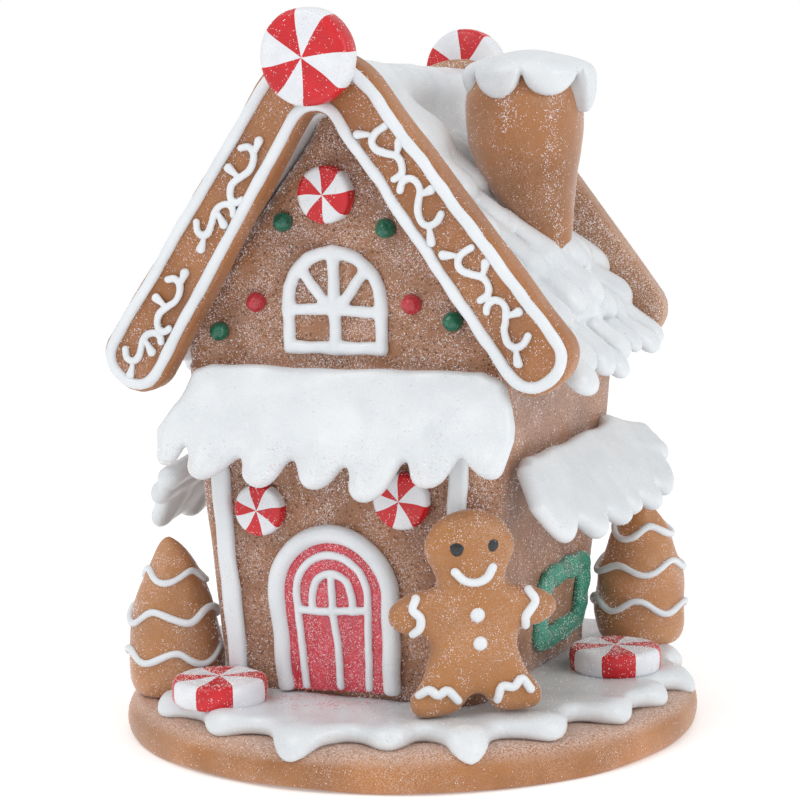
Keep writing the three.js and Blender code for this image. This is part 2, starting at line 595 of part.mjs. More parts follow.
// Right half of the cookie's outline, from the top of the head down to between the legs.
const MAN_HALF = [[0, 52.6], [7.4, 50.2], [11.2, 43.6], [8.9, 36.8], [9.2, 33.6], [15.6, 32.4], [20.6, 29.6],
  [21.2, 25.4], [17.4, 22.6], [12.4, 21.8], [10.9, 17], [13.4, 10.6], [17, 5], [15.4, 1.2], [10, 0.5], [5, 1.6],
  [2, 5.6]];
const mirrored = MAN_HALF.slice(1).reverse().map(([x, y]) => v2(-x, y));
const manCurve = new THREE.SplineCurve([...MAN_HALF.map(([x, y]) => v2(x, y)), v2(0, 6.6), ...mirrored, v2(0, 52.6)]);
const manShape = new THREE.Shape(manCurve.getPoints(46).slice(0, -1).reverse());
addMesh(figure, "man_body", slab(manShape, MAN.thick, 1.8).translate(0, 0, -MAN.thick), CLAY);

const dot = (radius, depth) => new THREE.SphereGeometry(radius, 6, 4).scale(1, 1, depth / radius);
for (const [name, x] of [["left", -3.4], ["right", 5]])
  addMesh(figure, "man_eye_" + name, dot(2, 1).translate(x, 44.2, 1 + GAP), BLACK);
for (const [name, y] of [["upper", 27], ["lower", 19.6]])
  addMesh(figure, "man_button_" + name, dot(1.9, 1.3).translate(0.6, y, 1.3 + GAP), ICING);
const MAN_PIPING = { radius: 1.1, lines: {
  man_mouth: [[-4.6, 38], [-2.4, 35.8], [0.6, 35.2], [3.4, 36.2], [5, 38.6]],
  man_cuff_hand_left: [[-14.6, 32], [-15.8, 29.6], [-14, 27.4], [-14.2, 24.8], [-15.8, 23.2]],
  man_cuff_hand_right: [[14.2, 32], [15.6, 29.4], [14.2, 27.2], [12.9, 25.4], [13, 23]],
  man_cuff_foot_left: [[-15, 7.6], [-12.6, 8.4], [-10.4, 7.2], [-8, 8], [-5.6, 5.4]],
  man_cuff_foot_right: [[4.8, 5], [6, 8], [9, 7.8], [11.2, 9.2], [13.4, 6.6]],
} };
for (const [name, line] of Object.entries(MAN_PIPING.lines)) {
  const points = line.map(([x, y]) => v3(x, y, MAN_PIPING.radius + GAP));
  addMesh(figure, name, piping(points, MAN_PIPING.radius, 9), ICING);
}

// ---------- cone trees ----------
const TREE_PROFILE = [[0, 0], [9, 0], [12, 2.6], [13, 8], [12.4, 18], [10.4, 26], [7.4, 33], [4.4, 39], [2, 42], [0, 43]];
function treeRadius(z) {
  const next = TREE_PROFILE.findIndex(([, height], i) => i > 1 && height > z);
  const [r0, z0] = TREE_PROFILE[next - 1];
  const [r1, z1] = TREE_PROFILE[next];
  return r0 + ((r1 - r0) * (z - z0)) / (z1 - z0);
}
const BAND = { radius: 0.95, heights: [12, 23, 33], waves: 5, swing: 1.6, steps: 20 };
function tree(name, { x, y, z }, phase) {
  const group = new THREE.Group();
  group.position.set(x, y, z);
  part.add(group);
  addMesh(group, "tree_" + name, revolve(() => TREE_PROFILE, 14), CLAY);
  BAND.heights.forEach((height, i) => {
    const waves = BAND.waves - i;
    const points = Array.from({ length: 4 * waves }, (_, k) => {
      const a = (2 * Math.PI * k) / (4 * waves);
      const h = height + BAND.swing * Math.sin(waves * a + phase + i);
      const r = treeRadius(h) + BAND.radius + GAP + 0.15;
      return v3(r * Math.cos(a), r * Math.sin(a), h);
    });
    addMesh(group, "tree_band_" + name + "_" + (i + 1), pipingLoop(points, BAND.radius, BAND.steps - 3 * i, 4), ICING);
  });
}
tree("left", TREE_LEFT, 0.4);
tree("right", TREE_RIGHT, 1.9);

export default part;
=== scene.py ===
"""Gingerbread house ornament of shaped clay dough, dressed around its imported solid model.

A round cookie base carries a sheet of white icing, a flared house with icing awnings and a
shingled icing roof between two gable boards, a chimney, peppermints, a gingerbread man and two
cone trees. The builders work in millimetres and Blender gets metres: +Z up, front towards -Y.
Every piece is a closed mesh that stands for its own CAD nodes.
"""
import json
import logging
import math
from collections.abc import Callable, Iterable, Sequence
from dataclasses import dataclass, field
from enum import Enum
from itertools import product

import bpy
import numpy as np
from bpy.types import Material, Node, NodeSocket, NodeTree, Object
from mathutils import Matrix, Vector

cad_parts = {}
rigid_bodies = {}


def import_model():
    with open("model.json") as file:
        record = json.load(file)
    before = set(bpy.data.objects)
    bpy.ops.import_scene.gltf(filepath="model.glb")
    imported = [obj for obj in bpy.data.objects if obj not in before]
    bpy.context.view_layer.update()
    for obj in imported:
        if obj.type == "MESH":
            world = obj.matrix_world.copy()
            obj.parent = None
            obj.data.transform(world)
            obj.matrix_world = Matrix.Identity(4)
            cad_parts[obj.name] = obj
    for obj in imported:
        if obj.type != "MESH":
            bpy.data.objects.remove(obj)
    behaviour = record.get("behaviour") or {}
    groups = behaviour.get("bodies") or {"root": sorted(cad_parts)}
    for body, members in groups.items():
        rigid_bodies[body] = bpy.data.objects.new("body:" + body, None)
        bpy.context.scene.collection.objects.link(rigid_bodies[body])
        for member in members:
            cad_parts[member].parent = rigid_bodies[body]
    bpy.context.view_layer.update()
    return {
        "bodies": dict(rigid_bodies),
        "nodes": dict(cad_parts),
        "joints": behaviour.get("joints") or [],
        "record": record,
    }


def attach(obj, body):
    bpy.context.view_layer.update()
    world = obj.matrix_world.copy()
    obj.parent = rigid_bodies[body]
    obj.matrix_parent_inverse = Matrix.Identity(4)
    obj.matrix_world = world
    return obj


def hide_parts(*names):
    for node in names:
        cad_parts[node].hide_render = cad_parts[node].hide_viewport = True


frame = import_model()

MM = 0.001
LOG = logging.getLogger("gingerbread_house")

Array = np.ndarray
Pair = tuple[float, float]
Triple = tuple[float, float, float]
Place = Callable[[Array], Array]
WHOLE = (slice(None),) * 3


# ---------------------------------------------------------------- shapes


@dataclass
class Shell:
    """A closed surface in millimetres, with four-sided and three-sided faces."""

    points: Array
    quads: Array = field(default_factory=lambda: np.zeros((0, 4), int))
    triangles: Array = field(default_factory=lambda: np.zeros((0, 3), int))
    quad_finish: Array | None = None
    triangle_finish: Array | None = None

    def moved(self, place: Place) -> "Shell":
        """The same surface with its points carried through a function."""
        return Shell(place(self.points), self.quads, self.triangles, self.quad_finish, self.triangle_finish)

    def handled(self, amount: float, reach: float, seed: int) -> "Shell":
        """The surface with the soft unevenness of hand shaping.

        Args:
            amount: typical shift in mm.
            reach: distance in mm from one swell to the next.
            seed: which unevenness.

        Returns:
            The uneven surface.
        """
        return self.moved(lambda points: points + wobble(points, reach, amount, seed))

    def corners(self) -> Array:
        """Every face as triangles, as an array of faces by corners by coordinates."""
        split = np.concatenate([self.quads[:, [0, 1, 2]], self.quads[:, [0, 2, 3]], self.triangles])
        return self.points[split]

    def to_object(self, name: str, materials: Sequence[Material]) -> Object:
        """Makes the Blender object.

        Args:
            name: the object's name.
            materials: one for each finish number of the faces.

        Returns:
            The object, linked to the scene.
        """
        mesh = bpy.data.meshes.new(name)
        mesh.from_pydata((self.points * MM).tolist(), [], self.quads.tolist() + self.triangles.tolist())
        for material in materials:
            mesh.materials.append(material)
        mesh.polygons.foreach_set("use_smooth", np.ones(len(mesh.polygons), bool))
        if self.quad_finish is not None:
            numbers = np.concatenate([self.quad_finish, self.triangle_finish]).astype(np.int32)
            mesh.polygons.foreach_set("material_index", numbers)
        mesh.update()
        made = bpy.data.objects.new(name, mesh)
        bpy.context.scene.collection.objects.link(made)
        return made


def wobble(points: Array, reach: float, amount: float, seed: int) -> Array:
    """Smooth random shifts, as a sum of slow waves in random directions.

    Args:
        points: points in mm.
        reach: typical wavelength in mm.
        amount: typical size of a shift in mm.
        seed: which waves.

    Returns:
        One shift for each point.
    """
    rng = np.random.default_rng(seed)
    waves = 6
    total = np.zeros_like(points, dtype=float)
    for _ in range(waves):
        direction = rng.normal(size=3)
        direction *= 2 * math.pi / (reach * rng.uniform(0.6, 1.6) * np.linalg.norm(direction))
        total += np.sin((points @ direction)[:, None] + rng.uniform(0, 2 * math.pi, 3))
    return total * amount / math.sqrt(waves)


def even_steps(line: Array, step: float, closed: bool) -> Array:
    """Points at an even step along a line, without the last one where it runs back to its start.

    Args:
        line: the line's points.
        step: distance in mm between the points.
        closed: True where it runs back to its start.

    Returns:
        The points.
    """
    along = np.concatenate([[0], np.cumsum(np.linalg.norm(np.diff(line, axis=0), axis=1))])
    count = max(int(round(along[-1] / step)), 3)
    marks = np.linspace(0, along[-1], count + 1)[: count if closed else count + 1]
    return np.stack([np.interp(marks, along, line[:, k]) for k in range(line.shape[1])], 1)


def spline(points: Sequence[Sequence[float]], step: float, closed: bool = False) -> Array:
    """A smooth curve through points, at an even step.

    Args:
        points: the points that the curve goes through.
        step: distance in mm between the points of the result.
        closed: True where the curve runs back to its start.

    Returns:
        The curve's points.
    """
    knots = np.asarray(points, float)
    if closed:
        knots = np.concatenate([knots[-1:], knots, knots[:2]])
    else:
        knots = np.concatenate([[2 * knots[0] - knots[1]], knots, [2 * knots[-1] - knots[-2]]])
    fine = []
    ts = np.linspace(0, 1, 24, endpoint=False)[:, None]
    for a, b, c, d in zip(knots, knots[1:], knots[2:], knots[3:]):
        fine.append(0.5 * (2 * b + (c - a) * ts + (2 * a - 5 * b + 4 * c - d) * ts**2
                           + (3 * b - a - 3 * c + d) * ts**3))
    return even_steps(np.concatenate(fine + [knots[-2:-1]]), step, closed)


def evened(outline: Array, step: float, closed: bool = False) -> Array:
    """A polyline at an even step, with its corners eased a little.

    Args:
        outline: the points.
        step: distance in mm between the points of the result.
        closed: True where it runs back to its start.

    Returns:
        The even points.
    """
    line = np.asarray(outline, float)
    if closed:
        line = np.concatenate([line, line[:1]])
    even = even_steps(line, step, closed)
    for _ in range(2):
        eased = (np.roll(even, 1, 0) + 2 * even + np.roll(even, -1, 0)) / 4
        if not closed:
            eased[0], eased[-1] = even[0], even[-1]
        even = eased
    return even


def raised(line: Array, level: float) -> Array:
    """A flat line lifted to a level."""
    return np.column_stack([line, np.full(len(line), level)])


def rounded_outline(corners: Sequence[Triple], arc_steps: int = 10) -> Array:
    """A polygon with an arc at each corner.

    Args:
        corners: x, y and the arc's radius for each corner, in order.
        arc_steps: steps in each arc.

    Returns:
        The outline's points.
    """
    outline = []
    count = len(corners)
    for i, (x, y, radius) in enumerate(corners):
        corner = np.array([x, y])
        back = np.array(corners[i - 1][:2]) - corner
        on = np.array(corners[(i + 1) % count][:2]) - corner
        back /= np.linalg.norm(back)
        on /= np.linalg.norm(on)
        turn = math.pi - math.acos(float(np.clip(back @ on, -1, 1)))
        middle = corner + (back + on) / np.linalg.norm(back + on) * radius / math.cos(turn / 2)
        start = corner + back * radius * math.tan(turn / 2) - middle
        way = 1 if back[0] * on[1] - back[1] * on[0] < 0 else -1
        for step in range(arc_steps + 1):
            angle = way * turn * step / arc_steps
            cos, sin = math.cos(angle), math.sin(angle)
            outline.append(middle + [start[0] * cos - start[1] * sin, start[0] * sin + start[1] * cos])
    return np.array(outline)


def outline_distance(outline: Array, x: Array, y: Array) -> Array:
    """Distance from grid points to a closed outline, negative inside it.

    Args:
        outline: the outline's points.
        x: grid places along X.
        y: grid places along Y.

    Returns:
        One distance for each pair of places.
    """
    px, py = x[:, None], y[None, :]
    nearest = np.full((x.size, y.size), 1e9)
    inside = np.zeros((x.size, y.size), bool)
    for (ax, ay), (bx, by) in zip(outline, np.roll(outline, -1, 0)):
        ex, ey = bx - ax, by - ay
        t = np.clip(((px - ax) * ex + (py - ay) * ey) / (ex * ex + ey * ey + 1e-12), 0, 1)
        nearest = np.minimum(nearest, (px - ax - ex * t) ** 2 + (py - ay - ey * t) ** 2)
        if ey:
            inside ^= ((ay > py) != (by > py)) & (px < ax + (py - ay) * ex / ey)
    return np.where(inside, -1, 1) * np.sqrt(nearest)


@dataclass(frozen=True)
class FaceFrame:
    """A frame on a leaning face: local X runs along it, Y up it and Z out of it.

    A turn of 0 faces the front, 90 the right side, 180 the rear and -90 the left side.
    """

    x: float
    y: float
    z: float
    turn: float = 0.0
    lean: float = 0.0
    spin: float = 0.0

    def rotation(self) -> Array:
        """The matrix that turns local directions into the object's own.

        Returns:
            The matrix.
        """
        spin, rise, turn = (math.radians(a) for a in (self.spin, 90 + self.lean, self.turn))
        flat = [[math.cos(spin), -math.sin(spin), 0], [math.sin(spin), math.cos(spin), 0], [0, 0, 1]]
        up = [[1, 0, 0], [0, math.cos(rise), -math.sin(rise)], [0, math.sin(rise), math.cos(rise)]]
        yaw = [[math.cos(turn), -math.sin(turn), 0], [math.sin(turn), math.cos(turn), 0], [0, 0, 1]]
        return np.array(yaw) @ np.array(up) @ np.array(flat)

    def place(self, points: Array) -> Array:
        """Local points in the object's own frame."""
        return np.asarray(points) @ self.rotation().T + [self.x, self.y, self.z]

    def at(self, x: float, y: float, z: float = 0.0, spin: float = 0.0) -> "FaceFrame":
        """A frame further along the same face, turned in its plane by some degrees."""
        spot = self.place(np.array([[x, y, z]]))[0]
        return FaceFrame(*spot, self.turn, self.lean, self.spin + spin)


class ClayVolume:
    """Soft material on a grid: shapes are pressed into each other and the skin is taken off as a mesh."""

    def __init__(self, low: Triple, high: Triple, voxel: float) -> None:
        """Starts an empty volume.

        Args:
            low: lowest corner in mm.
            high: highest corner in mm.
            voxel: spacing of the grid in mm.
        """
        margin = 3 * voxel
        self.voxel = voxel
        self.low = np.array(low, float) - margin
        counts = np.ceil((np.array(high) + margin - self.low) / voxel).astype(int) + 1
        self.axes = [self.low[k] + voxel * np.arange(counts[k]) for k in range(3)]
        self.field = np.full(tuple(counts), 99.0, np.float32)

    def window(self, low: Array, high: Array) -> tuple[slice, ...]:
        """The part of the grid between two corners.

        Args:
            low: lowest corner.
            high: highest corner.

        Returns:
            The slices.
        """
        return tuple(
            slice(max(int((low[k] - self.low[k]) / self.voxel), 0),
                  max(int((high[k] - self.low[k]) / self.voxel) + 2, 0))
            for k in range(3)
        )

    def places(self, window: tuple[slice, ...] = WHOLE) -> list[Array]:
        """The window's grid places along each axis, shaped to be combined."""
        shapes = ((-1, 1, 1), (1, -1, 1), (1, 1, -1))
        return [self.axes[k][window[k]].reshape(shapes[k]) for k in range(3)]

    def press(self, distance: Array, blend: float = 0.0, window: tuple[slice, ...] = WHOLE) -> None:
        """Joins a shape to the volume with a soft fillet of about the blend's size.

        Args:
            distance: distances to the shape, negative inside it.
            blend: size of the fillet or of the cut's soft edge.
            window: the part of the grid that it reaches.
        """
        held = self.field[window]
        if blend <= 0:
            self.field[window] = np.minimum(held, distance)
            return
        share = np.clip(0.5 + 0.5 * (held - distance) / blend, 0, 1)
        self.field[window] = held * (1 - share) + distance * share - blend * share * (1 - share)

    def tongue(self, start: Sequence[float], end: Sequence[float], radii: Pair, blend: float,
               flat: float = 1.0, normal: Triple = (0, 0, 1)) -> None:
        """Adds a round-ended finger that may taper.

        Args:
            start: middle of one end.
            end: middle of the other end.
            radii: half widths at the two ends.
            blend: size of the fillet to what is there.
            flat: thickness as a share of the width.
            normal: direction in which it is flattened.
        """
        self.bead(np.array([start, end], float), radii, blend, flat, normal)

    def bead(self, path: Array, radii: Pair, blend: float, flat: float = 1.0,
             normal: Triple = (0, 0, 1)) -> None:
        """Adds a round-ended bead along a run of points, with a radius that changes evenly.

        Args:
            path: the run of points.
            radii: half widths at the first and the last point.
            blend: size of the fillet to what is there.
            flat: thickness as a share of the width.
            normal: direction in which it is flattened.
        """
        path = np.asarray(path, float)
        reach = max(radii) + blend + 2 * self.voxel
        window = self.window(path.min(0) - reach, path.max(0) + reach)
        places = self.places(window)
        if any(p.size == 0 for p in places):
            return
        axis = np.array(normal, float)
        stretch = 1 / flat - 1
        shape = np.broadcast_shapes(*(p.shape for p in places))
        nearest = np.full(shape, 99.0)
        share = np.linspace(0, 1, len(path))
        for a, b, s0, s1 in zip(path, path[1:], share, share[1:]):
            rel = [p - a[k] for k, p in enumerate(places)]
            out = stretch * sum(r * axis[k] for k, r in enumerate(rel))
            rel = [r + out * axis[k] for k, r in enumerate(rel)]
            run = (b - a) + stretch * ((b - a) @ axis) * axis
            t = np.clip(sum(r * run[k] for k, r in enumerate(rel)) / (run @ run + 1e-9), 0, 1)
            gap = np.sqrt(sum((r - run[k] * t) ** 2 for k, r in enumerate(rel)))
            nearest = np.minimum(nearest, gap - (radii[0] + (radii[1] - radii[0]) * (s0 + (s1 - s0) * t)))
        self.press(nearest * min(flat, 1.0), blend, window)

    def slab(self, outline: Array, low: float, high: float, rounding: float, blend: float = 0.0) -> None:
        """Adds a flat piece with round edges, whose outline lies across the local Z.

        Args:
            outline: the outline's points.
            low: its lower face.
            high: its upper face.
            rounding: radius of its edges.
            blend: size of the fillet to what is there.
        """
        across = outline_distance(outline, self.axes[0], self.axes[1])[:, :, None] + rounding
        through = np.abs(self.axes[2] - (low + high) / 2)[None, None, :] - (high - low) / 2 + rounding
        body = np.minimum(np.maximum(across, through), 0) - rounding
        body = body + np.hypot(np.maximum(across, 0), np.maximum(through, 0))
        self.press(body, blend)

    def trim(self, point: Triple, normal: Triple, blend: float = 0.0) -> None:
        """Cuts away what lies beyond a plane.

        Args:
            point: a point on the plane.
            normal: the direction in which material is cut away.
            blend: softness of the cut edge.
        """
        places = self.places()
        beyond = sum((p - point[k]) * normal[k] for k, p in enumerate(places))
        self.carve(beyond, blend)

    def carve(self, keep: Array, blend: float = 0.0) -> None:
        """Keeps only what lies where a field of distances is negative.

        Args:
            keep: distances, negative where material stays.
            blend: size of the fillet or of the cut's soft edge.
        """
        if blend <= 0:
            self.field = np.maximum(self.field, keep).astype(np.float32)
            return
        share = np.clip(0.5 - 0.5 * (self.field - keep) / blend, 0, 1)
        kept = self.field * (1 - share) + keep * share + blend * share * (1 - share)
        self.field = kept.astype(np.float32)

    def skin(self, relax: int = 2) -> Shell:
        """Takes the surface off the grid.

        Args:
            relax: rounds of smoothing.

        Returns:
            The closed surface.
        """
        values = self.field
        for k in range(3):
            edge = [slice(None)] * 3
            for end in (0, -1):
                edge[k] = end
                values[tuple(edge)] = np.maximum(values[tuple(edge)], 0.5)
        inside = values < 0
        cell_shape = tuple(n - 1 for n in values.shape)
        offsets = list(product((0, 1), repeat=3))
        filled = np.zeros(cell_shape, np.int8)
        for offset in offsets:
            filled += inside[tuple(slice(o, o + n) for o, n in zip(offset, cell_shape))]
        mixed = (filled > 0) & (filled < 8)
        cells = np.argwhere(mixed)
        index = np.full(cell_shape, -1, np.int64)
        index[mixed] = np.arange(len(cells))
        corner = np.stack([values[tuple((cells + offset).T)] for offset in offsets], 1)
        total = np.zeros((len(cells), 3))
        crossings = np.zeros(len(cells))
        for a, b in product(range(8), repeat=2):
            step = np.array(offsets[b]) - offsets[a]
            if step.min() < 0 or step.sum() != 1:
                continue
            crossed = (corner[:, a] < 0) != (corner[:, b] < 0)
            gap = np.where(crossed, corner[:, a] - corner[:, b], 1.0)
            spot = np.array(offsets[a]) + (corner[:, a] / gap)[:, None] * step
            total += np.where(crossed[:, None], spot, 0)
            crossings += crossed
        points = self.low + self.voxel * (cells + total / crossings[:, None])
        quads = []
        for axis in range(3):
            first, second = (axis + 1) % 3, (axis + 2) % 3
            near = np.take(inside, range(values.shape[axis] - 1), axis)
            far = np.take(inside, range(1, values.shape[axis]), axis)
            edges = np.argwhere(near != far)
            leaving = near[tuple(edges.T)]
            ring = []
            for da, db in ((1, 1), (0, 1), (0, 0), (1, 0)):
                cell = edges.copy()
                cell[:, first] -= da
                cell[:, second] -= db
                ring.append(index[tuple(cell.T)])
            faces = np.stack(ring, 1)
            faces[~leaving] = faces[~leaving][:, ::-1]
            quads.append(faces)
        shell = Shell(points, np.concatenate(quads))
        for pull in (0.5, -0.52) * relax:
            shell.points = relaxed(shell, pull)
        return shell


def relaxed(shell: Shell, pull: float) -> Array:
    """Points drawn towards the mean of their neighbours, or away from it.

    Args:
        shell: a surface of four-sided faces.
        pull: the share of the way.

    Returns:
        The moved points.
    """
    count = len(shell.points)
    starts = shell.quads.ravel()
    ends = np.roll(shell.quads, -1, 1).ravel()
    near = np.bincount(starts, minlength=count) + np.bincount(ends, minlength=count)
    moved = np.empty_like(shell.points)
    for k in range(3):
        column = shell.points[:, k]
        total = np.bincount(starts, column[ends], count) + np.bincount(ends, column[starts], count)
        moved[:, k] = column + pull * (total / near - column)
    return moved


def grid_faces(rows: int, columns: int, closed: tuple[bool, bool]) -> Array:
    """The four-sided faces of a net of points.

    Args:
        rows: rows of points.
        columns: points in each row.
        closed: whether the last row meets the first one, and the same for the columns.

    Returns:
        The faces, row by row.
    """
    i, j = np.meshgrid(np.arange(rows - (not closed[0])), np.arange(columns - (not closed[1])), indexing="ij")
    on, over = (i + 1) % rows, (j + 1) % columns
    quads = [i * columns + j, on * columns + j, on * columns + over, i * columns + over]
    return np.stack(quads, -1).reshape(-1, 4)


def fan(tip: int, ring: Array) -> Array:
    """Triangles from one point to each side of a closed ring of points."""
    return np.stack([np.full(len(ring), tip), ring, np.roll(ring, -1)], 1)


def sweep(path: Array, normals: Array, radius: float, height: float, closed: bool,
          seed: int = 0, sides: int = 12) -> Shell:
    """A bead of piping along a path, with round ends and a slightly uneven width.

    Args:
        path: points along the middle of the bead.
        normals: the direction out of the surface that it lies on, for each point.
        radius: half width along the surface.
        height: half height out of the surface.
        closed: True where the bead runs back to its start.
        seed: which unevenness.
        sides: points round the bead.

    Returns:
        The bead.
    """
    ahead = np.roll(path, -1, 0) - np.roll(path, 1, 0)
    if not closed:
        ahead[0], ahead[-1] = path[1] - path[0], path[-1] - path[-2]
    ahead /= np.linalg.norm(ahead, axis=1)[:, None]
    side = np.cross(ahead, np.broadcast_to(normals, path.shape))
    side /= np.linalg.norm(side, axis=1)[:, None]
    up = np.cross(side, ahead)
    scale = 1 + 0.05 * np.clip(wobble(path, 6, 1.0, seed)[:, 0], -1.5, 1.5)
    if not closed:
        caps = np.radians([85, 65, 45, 22])
        first, last = path[:1], path[-1:]
        head = first - ahead[:1] * radius * np.sin(caps)[:, None]
        tail = last + ahead[-1:] * radius * np.sin(caps[::-1])[:, None]
        scale = np.concatenate([np.cos(caps) * scale[0], scale, np.cos(caps[::-1]) * scale[-1]])
        path = np.concatenate([head, path, tail])
        side = np.concatenate([np.repeat(side[:1], 4, 0), side, np.repeat(side[-1:], 4, 0)])
        up = np.concatenate([np.repeat(up[:1], 4, 0), up, np.repeat(up[-1:], 4, 0)])
    angles = np.linspace(0, 2 * math.pi, sides, endpoint=False)[None, :, None]
    rings = path[:, None] + scale[:, None, None] * (
        np.cos(angles) * radius * side[:, None] + np.sin(angles) * height * up[:, None])
    count = len(path)
    quads = grid_faces(count, sides, (closed, True))
    points = rings.reshape(-1, 3)
    if closed:
        return Shell(points, quads)
    points = np.concatenate([points, path[:1], path[-1:]])
    ring = np.arange(sides)
    head_fan = fan(count * sides, ring)
    tail_fan = fan(count * sides + 1, (count - 1) * sides + ring)[:, [0, 2, 1]]
    return Shell(points, quads, np.concatenate([head_fan, tail_fan]))


def turned(profile: Array, angles: Array) -> Shell:
    """A body turned round Z.

    Args:
        profile: radius and height from the lowest point on the axis to the highest one.
        angles: the places of the columns, in radians.

    Returns:
        The closed body.
    """
    inner = profile[1:-1]
    levels, columns = len(inner), len(angles)
    ring = np.stack([np.outer(np.cos(angles), inner[:, 0]), np.outer(np.sin(angles), inner[:, 0]),
                     np.broadcast_to(inner[:, 1], (columns, levels))], -1)
    ends = [[0, 0, profile[0, 1]], [0, 0, profile[-1, 1]]]
    points = np.concatenate([ring.reshape(-1, 3), ends])
    feet = np.arange(columns) * levels
    below = fan(columns * levels, feet)[:, [0, 2, 1]]
    above = fan(columns * levels + 1, feet + levels - 1)
    return Shell(points, grid_faces(columns, levels, (True, False)), np.concatenate([below, above]))


# ---------------------------------------------------------------- finishes


def linear(colour: str) -> tuple[float, float, float, float]:
    """An sRGB hex colour as linear values with full opacity."""
    parts = [int(colour[i : i + 2], 16) / 255 for i in (1, 3, 5)]
    return (*(c / 12.92 if c <= 0.04045 else ((c + 0.055) / 1.055) ** 2.4 for c in parts), 1.0)


def add_node(tree: NodeTree, kind: str, settings: dict | None = None,
             links: dict | None = None) -> Node:
    """Adds a node with its settings and links.

    Args:
        tree: the node tree.
        kind: the node's type.
        settings: values by socket name or number, or by property name after a dot.
        links: the outputs that feed its inputs, by socket name or number.

    Returns:
        The node.
    """
    node = tree.nodes.new(kind)
    for key, value in (settings or {}).items():
        if isinstance(key, str) and key.startswith("."):
            setattr(node, key[1:], value)
        else:
            node.inputs[key].default_value = value
    for key, output in (links or {}).items():
        tree.links.new(output, node.inputs[key])
    return node


class Finish:
    """A surface finish that makes its material once and hands it out afterwards."""

    name: str

    def material(self) -> Material:
        """The material of this finish.

        Returns:
            The material.
        """
        made = bpy.data.materials.get(self.name)
        if made is None:
            made = bpy.data.materials.new(self.name)
            made.use_nodes = True
            made.node_tree.nodes.clear()
            shader = self.shade(made.node_tree)
            add_node(made.node_tree, "ShaderNodeOutputMaterial", links={"Surface": shader.outputs[0]})
        return made

    def shade(self, tree: NodeTree) -> Node:
        """Builds the shader's nodes and returns the shader."""
        raise NotImplementedError

    @staticmethod
    def patches(tree: NodeTree, size_mm: float, low: float, high: float, to_low: float = 0.0,
                to_high: float = 1.0, detail: float = 3.0) -> NodeSocket:
        """Soft random patches over the object.

        Args:
            tree: the node tree.
            size_mm: size of a patch in mm.
            low: the raw value that gives the first result.
            high: the raw value that gives the second result.
            to_low: the first result.
            to_high: the second result.
            detail: octaves of finer patches.

        Returns:
            The value, held between the two results.
        """
        place = add_node(tree, "ShaderNodeTexCoord")
        cloud = add_node(tree, "ShaderNodeTexNoise", {"Scale": 1 / (size_mm * MM), "Detail": detail},
                         {"Vector": place.outputs["Object"]})
        held = add_node(tree, "ShaderNodeMapRange",
                        {"From Min": low, "From Max": high, "To Min": to_low, "To Max": to_high},
                        {"Value": cloud.outputs["Fac"]})
        return held.outputs["Result"]

    @staticmethod
    def drifting(tree: NodeTree, size_mm: float, reach: Pair, colours: tuple[str, str]) -> NodeSocket:
        """A colour that drifts into a second one in patches of a size in mm.

        Args:
            tree: the node tree.
            size_mm: size of a patch.
            reach: raw values that give the two colours.
            colours: the two colours.

        Returns:
            The colour.
        """
        share = Finish.patches(tree, size_mm, *reach)
        first, second = (linear(colour) for colour in colours)
        tint = add_node(tree, "ShaderNodeMix", {".data_type": "RGBA", 6: first, 7: second}, {0: share})
        return tint.outputs[2]


